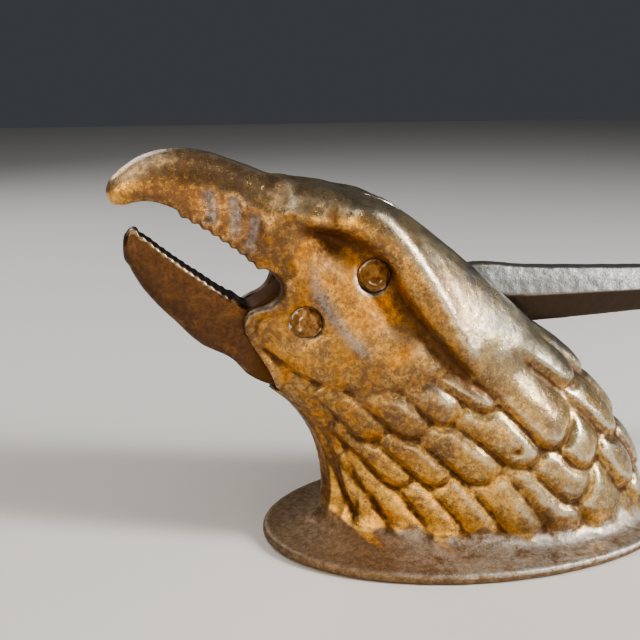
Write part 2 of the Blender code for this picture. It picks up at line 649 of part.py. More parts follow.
def crest_slot():
    """The slot in the crest and nape that the lever comes out of, whose lower end stops it."""
    floor = min(HANDLE_OUTLINE[1][0][1], HANDLE_OUTLINE[2][0][1]) - SEAT_GAP
    rear = FOOT_LENGTH
    outline = [(SLOT_FRONT[0], SLOT_FRONT[1] + 12.0), (SLOT_FRONT[0] - 5.0, SLOT_FRONT[1] - 16.0),
               (-26.0, floor), (rear, floor), (rear, SLOT_FRONT[1] + 12.0)]
    return slab("crest_slot", outline, HANDLE_WIDTH / 2 + SLOT_SIDE_GAP)


def rivet_hole(name, centre, shank, seat):
    """The hole through both cheeks, with a flat round seat for each rivet head."""
    bore = shank / 2 + BORE_GAP
    recess = RIVET_HEAD / 2 + SEAT_RELIEF
    reach = FOOT_WIDTH / 2
    profile = [(recess, -reach), (recess, -seat), (bore, -seat), (bore, seat), (recess, seat),
               (recess, reach)]
    return as_cutter(turned(name, profile, centre, 28))


def eagle_body(material):
    """The hollow head, neck and foot: one casting."""
    rings, from_crest, from_keel = head_grid(HEAD_STATIONS, HEAD_SIDE_POINTS)
    normals = grid_normals(rings)
    relief = head_relief(rings, normals, from_crest, from_keel)
    relief[0] = 0.0
    surface = rings + normals * relief[..., None]
    columns = surface.shape[1]
    faces = ring_faces(len(surface), columns)
    body = mesh_object("eagle_body", surface.reshape(-1, 3), faces, material)
    thin_out(body, HEAD_FACES / (2 * len(faces)))
    boolean(body, foot_disc(), 'UNION')
    boolean(body, head_cavity(), 'DIFFERENCE')
    boolean(body, mouth_cutter(), 'DIFFERENCE')
    boolean(body, jaw_bay(), 'DIFFERENCE')
    boolean(body, crest_slot(), 'DIFFERENCE')
    boolean(body, rivet_hole("pivot_hole", (PIVOT_X, PIVOT_Z), PIVOT_SHANK, PIVOT_SEAT), 'DIFFERENCE')
    boolean(body, rivet_hole("eye_hole", (EYE_X, EYE_Z), EYE_SHANK, EYE_SEAT), 'DIFFERENCE')
    return body


def lever_stations():
    """Lower and upper edge, half width and section shape all along the lever."""
    pivot = (PIVOT_X, PIVOT_Z)
    jaw = [(low, high, share * JAW_WIDTH / 2, kind) for low, high, share, kind in JAW_OUTLINE]
    hub = [(polar(pivot, ROOT_RADIUS * low_share, low_angle),
            polar(pivot, HUB_RADIUS * high_share, high_angle), JAW_WIDTH / 2, 1.0)
           for low_angle, low_share, high_angle, high_share in HUB_OUTLINE]
    reach = math.hypot(EYE_X - PIVOT_X, EYE_Z - PIVOT_Z)
    eye_angle = math.degrees(math.atan2(EYE_Z - PIVOT_Z, EYE_X - PIVOT_X))
    stop_angle = math.degrees(math.asin((EYE_SHANK / 2 + 2 * SEAT_GAP) / reach))
    top = polar(pivot, reach, eye_angle - STROKE - stop_angle)
    neck = [((top[0] - 2.0, top[1] - NECK_DEPTH), top, HANDLE_WIDTH / 2, 1.5)]
    handle = [(low, high, share * HANDLE_WIDTH / 2, kind) for low, high, share, kind in HANDLE_OUTLINE]
    (end_x, end_low), (_, end_high), end_share, _ = HANDLE_OUTLINE[-1]
    middle = (end_low + end_high) / 2
    tip = []
    for along, depth, width in HANDLE_TIP:
        x = end_x + (HANDLE_END_X - end_x) * along
        half_depth = (end_high - end_low) / 2 * depth
        tip.append(((x, middle - half_depth), (x, middle + half_depth),
                    HANDLE_WIDTH / 2 * end_share * width, 2.0))
    return jaw + hub + neck + handle + tip


def blended_section(kind):
    """Half section between the jaw's, the hub's and the handle's."""
    shapes = (np.array(JAW_SECTION), np.array(HUB_SECTION), np.array(HANDLE_SECTION))
    kind = min(max(kind, 0.0), 2.0)
    first = min(int(kind), 1)
    share = kind - first
    return shapes[first] * (1 - share) + shapes[first + 1] * share


def lever_grid():
    """Rings of points along the lever, closer together where the lower beak has its teeth."""
    stations = lever_stations()
    lower = np.array([station[0] for station in stations])
    upper = np.array([station[1] for station in stations])
    width = np.array([station[2] for station in stations])
    kind = np.array([station[3] for station in stations])
    knots = chord_lengths((lower + upper) / 2)
    tooth_first = knots[1]
    tooth_last = knots[5]
    run = np.linalg.norm(upper[5] - upper[1])
    teeth = max(int(round(run / JAW_TOOTH_PITCH)), 1)
    toothed = np.linspace(tooth_first, tooth_last, teeth * 3 + 1)
    straight = len(stations) - len(HANDLE_TIP) - len(HANDLE_OUTLINE) + 2
    cranked = np.linspace(tooth_last, knots[straight], HUB_STATIONS)[1:]
    handle = np.linspace(knots[straight], knots[-len(HANDLE_TIP) - 1], HANDLE_STATIONS)[1:]
    tip = np.linspace(knots[-len(HANDLE_TIP) - 1], knots[-1], 7)[1:]
    start = [knots[0], (knots[0] + knots[1]) / 2]
    where = np.concatenate((start, toothed, cranked, handle, tip))
    low = curve_through(knots, lower, where)
    high = curve_through(knots, upper, where)
    half = np.interp(where, knots, width)
    shape = np.interp(where, knots, kind)
    phase = (where - tooth_first) / (tooth_last - tooth_first) * teeth
    bite = np.where((phase > 0) & (phase < teeth), np.abs(np.sin(math.pi * phase)) ** 0.8, 0.0)
    rings = []
    for bottom, top, half_width, section, depth in zip(low, high, half, shape, bite):
        chord = top - bottom
        length = np.linalg.norm(chord)
        top = top - chord / length * JAW_TOOTH_DEPTH * depth
        profile = blended_section(section)
        heights = [bottom + (top - bottom) * (h + 1) / 2 for h, _ in profile]
        near = [(x, -w * half_width, z) for (x, z), (_, w) in zip(heights, profile)]
        far = [(x, -y, z) for x, y, z in near[-2:0:-1]]
        rings.append(near + far)
    return np.array(rings)


def jaw_lever(material):
    """The lever: lower beak, hub and handle in one casting, bored for the pivot rivet."""
    rings = lever_grid()
    columns = rings.shape[1]
    lever = mesh_object("jaw_lever", rings.reshape(-1, 3), ring_faces(len(rings), columns), material)
    bore = PIVOT_SHANK / 2 + BORE_GAP
    cutter = turned("hub_bore", [(bore, -JAW_WIDTH), (bore, JAW_WIDTH)], (PIVOT_X, PIVOT_Z), 28)
    boolean(lever, as_cutter(cutter), 'DIFFERENCE')
    return lever


def rivet(name, centre, shank, seat, material):
    """A through rivet whose ends are hammered into low domed heads."""
    inner = seat + SEAT_GAP
    outer = RIVET_HEAD / 2
    rise = RIVET_HEAD_HEIGHT - RIVET_HEAD_EDGE
    dome = [(outer * math.cos(math.radians(a)), inner + RIVET_HEAD_EDGE + rise * math.sin(math.radians(a)))
            for a in (0, 28, 52, 74)]
    side = [(shank / 2, inner), (outer, inner)] + dome
    profile = [(radius, -y) for radius, y in reversed(side)] + side
    return turned(name, profile, centre, 24, material)


def main():
    for obj in list(bpy.data.objects):
        bpy.data.objects.remove(obj, do_unlink=True)
    gilt = iron("worn_gilt_iron", (0.42, 0.26, 0.10), 0.45, 0.8)
    brown = iron("brown_bronzed_iron", (0.20, 0.12, 0.06), 0.5, 0.8)
    steel = iron("peened_rivet_iron", (0.30, 0.22, 0.14), 0.5, 0.9)
    pieces = [eagle_body(gilt), jaw_lever(brown),
              rivet("jaw_pivot_rivet", (PIVOT_X, PIVOT_Z), PIVOT_SHANK, PIVOT_SEAT, steel),
              rivet("eye_rivet", (EYE_X, EYE_Z), EYE_SHANK, EYE_SEAT, steel)]
    stand = bpy.data.objects.new("stand", None)
    bpy.context.scene.collection.objects.link(stand)
    for obj in list(bpy.data.objects):
        if obj is not stand:
            obj.parent = stand
    beak_end = HEAD_OUTLINE[-1][1][0]
    stand.location = Vector((-(beak_end + HANDLE_END_X) / 2, 0.0, 0.0)) * MM
    return pieces


main()
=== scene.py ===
"""Looks of the tabletop lever nutcracker: an eagle's head cast in iron, its lever and its two rivets.

Shapes are worked out in millimetres, in a frame whose origin is the middle of the foot's underside,
with the beak to -X and the handle to +X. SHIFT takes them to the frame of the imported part.
"""
import math

import bmesh
import bpy
import numpy as np
from mathutils import Euler, Matrix, Vector, noise
from mathutils.bvhtree import BVHTree


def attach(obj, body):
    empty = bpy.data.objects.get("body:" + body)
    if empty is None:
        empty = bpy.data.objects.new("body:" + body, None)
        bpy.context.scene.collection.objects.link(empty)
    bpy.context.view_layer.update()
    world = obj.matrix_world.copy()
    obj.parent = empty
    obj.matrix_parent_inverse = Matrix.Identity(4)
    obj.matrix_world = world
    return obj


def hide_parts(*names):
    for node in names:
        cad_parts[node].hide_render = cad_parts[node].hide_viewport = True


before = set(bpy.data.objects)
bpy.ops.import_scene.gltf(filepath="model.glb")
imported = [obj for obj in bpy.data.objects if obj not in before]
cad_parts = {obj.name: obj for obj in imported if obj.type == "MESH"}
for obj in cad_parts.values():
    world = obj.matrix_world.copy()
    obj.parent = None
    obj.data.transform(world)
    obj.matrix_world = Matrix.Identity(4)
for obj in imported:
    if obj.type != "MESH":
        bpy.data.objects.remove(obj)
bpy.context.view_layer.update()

MM = 0.001
SHIFT = -23.9

# Sizes of the castings and the rivets; places are (x, z)
FOOT_LENGTH = 127.0
FOOT_WIDTH = 76.0
FOOT_RIM = 3.0
FOOT_RIM_ROUND = 0.9
FOOT_RISE = 2.4
FOOT_SLOPE = 16.7
FOOT_SEGMENTS = 220
WALL = 4.0
CORE_TAPER = 0.22
CORE_LAST_STATION = 9
JAW_WIDTH = 12.0
HUB_RADIUS = 9.4
ROOT_RADIUS = 21.2
HANDLE_END_X = 150.0
HANDLE_WIDTH = 11.4
SIDE_GAP = 0.35
BORE_GAP = 0.3
SEAT_GAP = 0.3
SWING_GAP = 0.5
PIVOT = (-53.7, 67.4)
PIVOT_SEAT = 13.2
EYE = (-35.7, 79.4)
EYE_SEAT = 13.6
SHANK = 6.0
RIVET_HEAD = 8.0
RIVET_HEAD_HEIGHT = 1.5
RIVET_RIM = 0.4
RIVET_SPREAD = 0.35
SEAT_RELIEF = 0.45
STROKE = 28.0

# Angles about the pivot over which the bay in the head follows the lever's root and its hub
ROOT_BAY = (185.0, 300.0)
HUB_BAY = (66.0, 150.0)

# Grain at which each skin is melted together, and its sand texture: height, size of a lump, seed
BLANK_GRAIN = 0.5
BODY_GRAIN = 0.54
LEVER_GRAIN = 0.45
RIVET_GRAIN = 0.22
BODY_SAND = (0.09, 3.2, 4.0)
LEVER_SAND = (0.07, 2.6, 9.0)

# Lower (x, z), upper (x, z), half width, place of the widest point, fullness below and above it.
HEAD_OUTLINE = (
    ((-55.5, 2.2), (57.5, 2.2), 31.0, 0.12, 1.8, 2.1),
    ((-50.2, 4.6), (53.2, 5.0), 26.6, 0.18, 1.6, 2.1),
    ((-47.8, 8.0), (50.4, 9.5), 24.4, 0.20, 1.5, 2.1),
    ((-46.8, 14.0), (47.0, 19.0), 23.6, 0.20, 1.5, 2.1),
    ((-47.2, 22.0), (40.0, 31.5), 23.0, 0.18, 1.6, 2.1),
    ((-50.0, 32.0), (28.0, 46.5), 21.8, 0.18, 1.8, 2.1),
    ((-55.8, 41.0), (14.5, 59.8), 20.4, 0.24, 2.0, 2.1),
    ((-63.5, 47.6), (-1.6, 74.2), 18.8, 0.30, 2.0, 2.2),
    ((-72.0, 55.5), (-15.8, 86.0), 17.2, 0.38, 1.6, 2.2),
    ((-78.0, 65.5), (-29.5, 95.3), 15.4, 0.42, 1.6, 2.2),
    ((-80.0, 76.0), (-44.2, 100.9), 13.0, 0.42, 1.7, 2.1),
    ((-83.0, 84.0), (-57.0, 103.1), 10.2, 0.25, 2.0, 2.0),
    ((-86.5, 89.5), (-67.5, 107.1), 8.6, 0.05, 2.2, 2.0),
    ((-90.5, 93.4), (-77.0, 110.7), 7.5, 0.0, 2.3, 2.0),
    ((-94.5, 96.2), (-86.5, 111.5), 6.7, 0.0, 2.3, 2.0),
    ((-97.6, 97.3), (-94.0, 109.4), 5.7, 0.0, 2.1, 2.0),
    ((-99.6, 97.5), (-98.8, 106.2), 4.5, 0.0, 2.0, 2.0),
    ((-101.2, 98.3), (-101.3, 103.6), 2.9, 0.0, 2.0, 2.0),
    ((-102.1, 100.0), (-102.2, 101.6), 0.9, 0.0, 2.0, 2.0),
)
HEAD_STATIONS = 460
HEAD_SIDE_POINTS = 210
SECTION_SAMPLES = 240

# Edges of the mouth in the side view, and the round teeth along its roof
HOOK_EDGE = ((-99.0, 96.9), (-95.2, 98.6), (-91.4, 98.9), (-87.7, 98.0), (-84.3, 96.4))
TOOTH_START = (-84.3, 96.4)
TOOTH_END = (-63.4, 81.2)
TOOTH_SAG = 1.1
TEETH = 9
TOOTH_STEPS = 8
TOOTH_DEPTH = 1.4
MOUTH_CORNER = ((-61.6, 80.4), (-59.7, 78.3), (-59.1, 75.9), (-60.2, 73.3), (-62.6, 71.4))
CHEEK_EDGE = ((-65.6, 70.5), (-67.9, 69.2), (-68.9, 66.6), (-68.2, 62.9), (-65.6, 58.4), (-62.9, 53.8),
              (-60.9, 49.6), (-60.0, 46.4))
MOUTH_RIM = MOUTH_CORNER + CHEEK_EDGE

# Lines and places of the face in the side view
BROW_GROOVE = ((-57.5, 94.2), (-52.8, 91.8), (-47.7, 90.6), (-43.6, 89.8), (-39.6, 87.8), (-36.2, 85.2),
               (-33.2, 81.9), (-31.4, 78.4), (-29.6, 75.0), (-27.0, 71.2), (-24.2, 67.4), (-20.8, 63.2),
               (-17.0, 58.8), (-13.2, 54.4), (-9.4, 50.6), (-4.6, 48.4), (1.6, 47.2), (7.0, 42.6),
               (15.4, 35.4))
HOOD_REAR = ((-9.4, 50.6), (-4.6, 50.6), (1.6, 53.0), (9.0, 58.0), (18.0, 64.0))
HOOD_RIDGE = ((-44.0, 95.6), (-36.5, 93.4), (-31.2, 88.6), (-25.0, 80.1), (-19.8, 72.2), (-14.4, 62.9),
              (-10.3, 56.4), (-7.0, 52.4))
SOCKET_LINE = ((-54.6, 91.0), (-50.4, 88.6), (-46.0, 86.2), (-41.6, 83.0), (-37.4, 78.4), (-33.4, 72.6),
               (-29.0, 66.0), (-24.0, 60.0))
BAND = ((-64.6, 80.6), (-64.0, 84.6), (-63.4, 88.2), (-61.8, 92.0), (-58.6, 95.0), (-54.7, 96.8),
        (-50.2, 97.7), (-46.0, 97.6))
CHEEKBONE = ((-54.4, 87.6), (-53.2, 83.4), (-51.4, 77.9), (-48.6, 72.4), (-45.2, 67.0), (-40.6, 61.4),
             (-35.6, 57.8), (-30.4, 55.0))
CHEEK_LOWER = ((-62.0, 58.6), (-59.0, 56.0), (-54.5, 52.6), (-49.6, 50.6), (-46.0, 49.4), (-39.5, 48.8),
               (-34.8, 48.3), (-29.7, 49.0), (-24.6, 50.6), (-20.5, 52.4), (-15.0, 55.0))
WRINKLES = (((-77.6, 102.6), (-76.4, 97.6), (-76.6, 92.4)), ((-71.4, 101.6), (-70.4, 95.4), (-71.0, 88.6)),
            ((-65.4, 97.0), (-66.2, 91.2), (-67.6, 85.0)))
BEAK_CREASE = ((-48.6, 97.4), (-47.0, 95.2), (-46.0, 91.8))
SHORT_CREASE = ((-47.4, 95.6), (-46.6, 93.8), (-46.0, 91.8))
LIP = tuple((x + 1.0, z - 0.6) for x, z in MOUTH_RIM)
LIP_FOLD = tuple((x + 3.4, z - 1.0) for x, z in CHEEK_EDGE)
BROW_KNOB = (-42.8, 94.2)
SOCKET_CORNER = (-46.6, 88.0)
PINCH = (-65.0, 80.0)
CASTING_PIT = (2.1, 31.1)

# Forms of the head: line, height, width above it, width below it, share that fades at its ends
HEAD_RIDGES = (
    (HOOD_RIDGE, 1.2, 7.0, 4.2, 0.15),
    (HOOD_RIDGE, 0.9, 2.4, 2.8, 0.15),
    (BROW_GROOVE[:16], -1.8, 1.3, 3.6, 0.13),
    (CHEEKBONE, 0.5, 2.8, 3.6, 0.2),
    (BAND, 0.65, 2.4, 2.6, 0.3),
    (SHORT_CREASE, -0.3, 1.6, 1.6, 0.3),
    (CHEEK_LOWER, -0.7, 1.2, 2.2, 0.1),
    (LIP, 0.9, 1.2, 1.4, 0.08),
    (LIP_FOLD, -0.6, 1.1, 1.1, 0.2),
    *((line, -1.25, 1.7, 2.3, 0.3) for line in WRINKLES),
)
# Round forms of the head: middle, length, height, how far it stands out
HEAD_BUMPS = (
    (SOCKET_CORNER, 6.0, 4.6, -1.3),
    (PIVOT, 6.5, 6.5, -1.0),
    (BROW_KNOB, 2.8, 2.2, 1.1),
)
HEAD_HEIGHT = 1.25
HOOD_HEIGHT = 1.5
SOCKET_DEPTH = 2.8
PINCH_DEPTH = 3.6
PIT_DEPTH = 0.9
TOOTH_SWELL = 0.38
STREAK_HEIGHT = 0.26
STREAK_PITCH = 5.2
FINE_STREAK_PITCH = 2.3
FAR_RIM_HEIGHT = 1.6

# Rows of feathers from the foot up. Near side: root (x, z), tip (x, z), width, height. Round the back:
# distance of the tip from the middle of the nape, height of root and tip on the side.
FEATHER_ROWS = (
    (
        (((-46.0, 29.0), (-38.6, 2.5), 7.0, 1.1), ((-42.0, 29.0), (-24.8, 3.6), 9.8, 2.0),
         ((-35.5, 32.0), (-13.4, 5.6), 10.6, 2.2), ((-23.0, 28.0), (-3.4, 6.6), 11.2, 2.3),
         ((-12.0, 29.0), (8.6, 6.4), 12.4, 2.4), ((1.0, 30.0), (20.6, 6.0), 12.6, 2.4),
         ((13.0, 31.0), (34.0, 5.6), 12.8, 2.4)),
        ((11.0, 22.0, 4.0), (0.0, 22.0, 4.0)),
    ),
    (
        (((-44.6, 39.0), (-25.6, 20.8), 10.6, 2.2), ((-34.6, 38.0), (-15.8, 22.0), 10.8, 2.4),
         ((-25.0, 41.0), (-3.4, 23.2), 12.4, 2.7), ((3.0, 35.0), (23.6, 15.4), 13.0, 2.5)),
        ((16.0, 34.0, 13.0), (4.5, 34.0, 13.0)),
    ),
    (
        (((-15.8, 45.4), (8.6, 28.2), 12.8, 2.9), ((6.0, 45.0), (26.6, 24.4), 12.8, 2.8)),
        ((12.0, 46.0, 26.0), (0.0, 46.0, 26.0)),
    ),
    (
        (((-49.0, 50.5), (-33.8, 34.6), 11.8, 2.1), ((-41.0, 52.5), (-22.8, 36.8), 11.8, 2.3),
         ((-29.5, 53.0), (-15.0, 40.4), 9.8, 2.3), ((-21.0, 56.0), (-3.6, 44.0), 9.8, 2.4),
         ((-6.0, 54.0), (16.4, 31.4), 13.0, 3.0)),
        ((13.0, 60.0, 41.0), (2.0, 56.0, 39.0)),
    ),
)
REAR_WIDTH = 12.6
REAR_LENGTH = 5.0
REAR_HEIGHT = 2.7
FEATHER_BEND = 1.2
UPPER_SPREAD = 1.45
CREVICE_DEPTH = 0.6
RELIEF_WEAR = 5

# Stations of the lever: lower (x, z), upper (x, z), share of the full width, kind of section from
# 0 for the beak over 1 for the hub to 2 for the handle
JAW_OUTLINE = (
    ((-98.6, 87.9), (-98.2, 89.6), 0.22, 0.0),
    ((-98.7, 85.4), (-96.6, 91.4), 0.45, 0.0),
    ((-97.3, 81.6), (-94.0, 90.2), 0.58, 0.0),
    ((-93.6, 74.8), (-88.0, 85.4), 0.72, 0.0),
    ((-86.2, 66.3), (-79.7, 79.0), 0.86, 0.0),
    ((-79.0, 59.4), (-71.0, 72.9), 0.98, 0.3),
)
HANDLE_OUTLINE = (
    ((-21.0, 57.6), (-19.0, 73.6), 1.0, 1.9),
    ((-8.0, 60.6), (-6.0, 77.9), 1.0, 2.0),
    ((13.0, 60.8), (13.0, 76.8), 1.0, 2.0),
    ((60.0, 62.6), (60.0, 74.8), 0.97, 2.0),
    ((110.0, 63.8), (110.0, 74.2), 1.0, 2.0),
    ((136.0, 63.6), (136.0, 75.2), 1.06, 2.0),
    ((145.0, 64.6), (145.0, 74.6), 0.95, 2.0),
    ((147.5, 65.25), (147.5, 73.95), 0.836, 2.0),
    ((149.25, 66.85), (149.25, 72.35), 0.57, 2.0),
    ((HANDLE_END_X, 68.7), (HANDLE_END_X, 70.5), 0.2375, 2.0),
)
# Angle and share of the radius, for the lower point on the root and the upper one on the hub
HUB_OUTLINE = ((214.0, 1.0, 166.0, 1.35), (228.0, 1.0, 140.0, 1.0), (246.0, 0.98, 105.0, 1.0),
               (262.0, 0.90, 70.0, 1.0), (282.0, 0.80, 32.0, 1.0))
LEVER_STATIONS = 640
LEVER_SIDE_POINTS = 40
JAW_TOOTH_SPAN = (1, 5)
JAW_TOOTH_PITCH = 2.1
JAW_TOOTH_DEPTH = 0.45
NECK_DEPTH = 14.0
JAW_SECTION = ((-1.0, 0.0), (-0.97, 0.34), (-0.84, 0.62), (-0.58, 0.83), (-0.15, 0.96), (0.4, 1.0),
               (0.86, 1.0), (1.0, 0.94), (1.0, 0.0))
HUB_SECTION = ((-1.0, 0.0), (-1.0, 0.5), (-1.0, 0.84), (-0.9, 1.0), (-0.3, 1.0), (0.3, 1.0),
               (0.9, 1.0), (1.0, 0.84), (1.0, 0.0))
HANDLE_SECTION = ((-1.0, 0.0), (-1.0, 0.30), (-0.94, 0.50), (-0.7, 0.66), (-0.2, 0.88), (0.08, 1.0),
                  (0.6, 0.70), (1.0, 0.42), (1.0, 0.0))
SLOT_FRONT = (-31.5, 96.6)
SLOT_SIDE_GAP = 1.1
SLOT_HEADROOM = 12.0

# Colours of paint, tarnish, iron, dirt and of painted light and shade; a pair runs from the dark to the light
# spots of a mottle
GOLD = ((0.28, 0.188, 0.075), (0.50, 0.370, 0.165))
# Painted warm reflection, on faces turned down and forward and in the socket
GLOW = ((0.29, 0.118, 0.017), (0.58, 0.262, 0.032))
TARNISH = ((0.105, 0.058, 0.026), (0.21, 0.14, 0.082))
# Worn grey of rubbed places, laid on more where the window's painted highlight falls
GREY = ((0.27, 0.265, 0.24), (0.52, 0.50, 0.43))
OLIVE = ((0.105, 0.108, 0.10), (0.225, 0.20, 0.135))
PLATE = ((0.14, 0.090, 0.054), (0.245, 0.168, 0.108))
ASHEN = ((0.29, 0.26, 0.225), (0.46, 0.425, 0.375))
# Painted warm highlight on the lower front of the neck, the beak's tip and the brow knob
WARM_HIGHLIGHT_GILT = (0.92, 0.53, 0.135)
BROWN_CLOUD = (0.145, 0.085, 0.050)
DULL_BEAK = (0.16, 0.085, 0.042)
# Painted pale highlight on proud places turned away from the warm light
PALE_HIGHLIGHT = (0.52, 0.48, 0.37)
# Painted blue reflection of the window along the cheekbone and the beak's folds
BLUE_SHEEN = (0.235, 0.258, 0.30)
SCRATCH = (0.10, 0.05, 0.02)
PITS = (0.10, 0.050, 0.024)
# Dirt with painted shade in the hollows
DIRT_AND_SHADE = (0.075, 0.036, 0.016)
# Painted shade with some grime under the brow, at the throat, in creases and round the pivot
GRIME_AND_SHADE = (0.095, 0.042, 0.015)
# Painted shade on the faces inside the casting
INSIDE_SHADE = (0.095, 0.048, 0.019)

BRONZE = ((0.066, 0.036, 0.020), (0.125, 0.064, 0.031))
LIGHT_BRONZE = (0.24, 0.12, 0.042)
BARE_IRON = ((0.122, 0.124, 0.122), (0.19, 0.188, 0.178))
# Painted shade on the lever's faces turned down
UNDERSIDE_SHADE = (0.05, 0.034, 0.022)
RUBBED_EDGE = (0.42, 0.33, 0.22)
LEVER_DIRT = (0.075, 0.040, 0.020)
# Painted shade on the lever's root between the cheeks
LEVER_ROOT_SHADE = (0.13, 0.062, 0.024)
LEVER_PITS = (0.05, 0.03, 0.018)

RIVET_BROWN = ((0.13, 0.062, 0.02), (0.29, 0.155, 0.058))
RIVET_GLINT = (0.60, 0.56, 0.49)
RIVET_DIRT = (0.06, 0.03, 0.014)

# Stage, in metres: name, place, width, height, power and colour of each light
LIGHTS = (
    ("window", (0.62, -0.36, 0.46), 0.13, 0.42, 11.4, (1.0, 1.0, 1.0)),
    ("ceiling", (-0.38, -0.18, 0.72), 0.7, 0.7, 2.9, (1.0, 0.96, 0.90)),
    ("glow", (0.02, -0.58, 0.10), 0.6, 0.16, 1.05, (1.0, 0.74, 0.42)),
    ("left", (-0.50, -0.44, 0.16), 0.3, 0.3, 1.3, (1.0, 0.80, 0.56)),
    ("behind", (-0.35, 0.55, 0.50), 0.4, 0.4, 1.9, (0.90, 0.94, 1.0)),
)
LIGHT_AIM = (-0.03, 0.0, 0.06)
FLOOR_REACH = 1.6
FLOOR_DROP = 0.0002
FLOOR_COLOUR = (0.62, 0.60, 0.57, 1.0)
ROOM_COLOUR = (0.55, 0.58, 0.64, 1.0)
ROOM_STRENGTH = 0.10
CAMERA_PLACE = (-0.1229, -0.245, 0.135)
CAMERA_TURN = -12.0
CAMERA_TILT = 15.8
CAMERA_LENS = 53.4375


def smooth(low, high, value):
    """Rise from 0 at low to 1 at high without a corner."""
    t = np.clip((value - low) / (high - low), 0.0, 1.0)
    return t * t * (3.0 - 2.0 * t)


def curve_through(knots, points, where):
    """Smooth curve through points, one at each knot, read at the places in where."""
    knots = np.asarray(knots, float)
    points = np.asarray(points, float)
    slopes = np.gradient(points, knots, axis=0)
    index = np.clip(np.searchsorted(knots, where, side="right") - 1, 0, len(knots) - 2)
    step = knots[index + 1] - knots[index]
    t = ((where - knots[index]) / step)[:, None]
    start = points[index]
    way = points[index + 1] - start
    first = slopes[index] * step[:, None]
    last = slopes[index + 1] * step[:, None]
    return start + t * (first + t * (3 * way - 2 * first - last + t * (first + last - 2 * way)))


def chord_lengths(points):
    """Running length along a row of points, starting at 0."""
    steps = np.linalg.norm(np.diff(np.asarray(points, float), axis=0), axis=1)
    return np.concatenate(([0.0], np.cumsum(steps)))


def curved_outline(points, per_span=4):
    """Points along a smooth open curve through the given ones."""
    knots = chord_lengths(points)
    where = np.interp(np.linspace(0, len(points) - 1, per_span * (len(points) - 1) + 1),
                      np.arange(len(points)), knots)
    return [tuple(point) for point in curve_through(knots, points, where)]


def beside(line, x, z):
    """Signed distance of points from a line of the side view, positive above it, and the share along it."""
    line = np.array(curved_outline(line))
    run_lengths = chord_lengths(line)
    nearest = np.full(x.shape, np.inf)
    signed = np.zeros(x.shape)
    share_along = np.zeros(x.shape)
    for index, (start, run) in enumerate(zip(line, np.diff(line, axis=0))):
        length = np.linalg.norm(run)
        off_x = x - start[0]
        off_z = z - start[1]
        share = np.clip((off_x * run[0] + off_z * run[1]) / length ** 2, 0.0, 1.0)
        distance = np.hypot(off_x - share * run[0], off_z - share * run[1])
        closer = distance < nearest
        nearest = np.where(closer, distance, nearest)
        signed = np.where(closer, np.where(off_z * run[0] >= off_x * run[1], distance, -distance), signed)
        share_along = np.where(closer, (run_lengths[index] + share * length) / run_lengths[-1], share_along)
    return signed, share_along


def ridge(line, x, z, height, above, below, fade):
    """A rounded ridge along a line, or a groove where the height is below 0; it fades at its ends."""
    distance, share = beside(line, x, z)
    width = np.where(distance >= 0.0, above, below)
    ends = smooth(0.0, fade, share) * smooth(0.0, fade, 1.0 - share)
    return height * np.exp(-(distance / width) ** 2) * ends


def bump(x, z, centre, length, height, rise):
    """A round swelling in the side view, or a hollow where the rise is below 0."""
    return rise * np.exp(-((x - centre[0]) / length) ** 2 - ((z - centre[1]) / height) ** 2)


def half_section(peak, low_power, high_power):
    """One side of an egg-shaped section as (height from -1 to 1, width from 0 to 1)."""
    angle = np.linspace(0.0, math.pi, SECTION_SAMPLES)
    lower = angle < math.pi / 2
    power = np.where(lower, low_power, high_power)
    reach = np.where(lower, 1.0 + peak, 1.0 - peak)
    along = np.abs(np.cos(angle)) ** (2.0 / power)
    width = np.abs(np.sin(angle)) ** (2.0 / power)
    return peak + np.where(lower, -1.0, 1.0) * reach * along, width


def even_half(heights, widths, points):
    """Half a section with its points spread evenly along it, and their running length."""
    run = chord_lengths(np.stack([heights, widths], axis=1))
    marks = np.linspace(0.0, run[-1], points + 1)
    return np.interp(marks, run, heights), np.interp(marks, run, widths), marks


def full_ring(foot, up, heights, widths):
    """A ring of points from half a section that stands on a point of the side view."""
    near = np.stack([foot[0] + up[0] * heights, -widths, foot[1] + up[1] * heights], axis=1)
    return np.concatenate([near, near[-2:0:-1] * (1.0, -1.0, 1.0)])


def head_grid(count, side_points, inset=0.0, front_limit=None, last=len(HEAD_OUTLINE) - 1):
    """Rings of points round the head, and each point's distance from the underside along its ring."""
    lower, upper = (np.array([station[end] for station in HEAD_OUTLINE]) for end in (0, 1))
    shape = np.array([station[2:] for station in HEAD_OUTLINE])
    knots = chord_lengths((lower + upper) / 2 + (upper - lower) * 0.15)
    where = np.linspace(knots[0], knots[last], count)
    rings = []
    from_keel = []
    curves = (curve_through(knots, side, where) for side in (lower, upper, shape))
    for low, high, (half_width, *form) in zip(*curves):
        length = np.linalg.norm(high - low)
        along = (high - low) / length
        low_inset = inset
        if front_limit is not None:
            in_head = float(smooth(30.0, 56.0, low[1]))
            low_inset = max(inset, in_head * (front_limit - low[0]) / along[0])
        length = max(length - low_inset - inset, 1.0)
        heights, widths = half_section(*form)
        heights, widths, marks = even_half(
            (heights + 1.0) / 2.0 * length, widths * max(half_width - inset, 0.5), side_points)
        rings.append(full_ring(low + along * low_inset, along, heights, widths))
        from_keel.append(np.concatenate([marks, marks[-2:0:-1]]))
    return np.array(rings), np.array(from_keel)


def grid_normals(rings):
    """Outward directions at the points of a grid of rings."""
    along = np.gradient(rings, axis=0)
    around = np.roll(rings, -1, axis=1) - np.roll(rings, 1, axis=1)
    normal = np.cross(around, along)
    size = np.linalg.norm(normal, axis=2, keepdims=True)
    return normal / np.maximum(size, 1e-9)


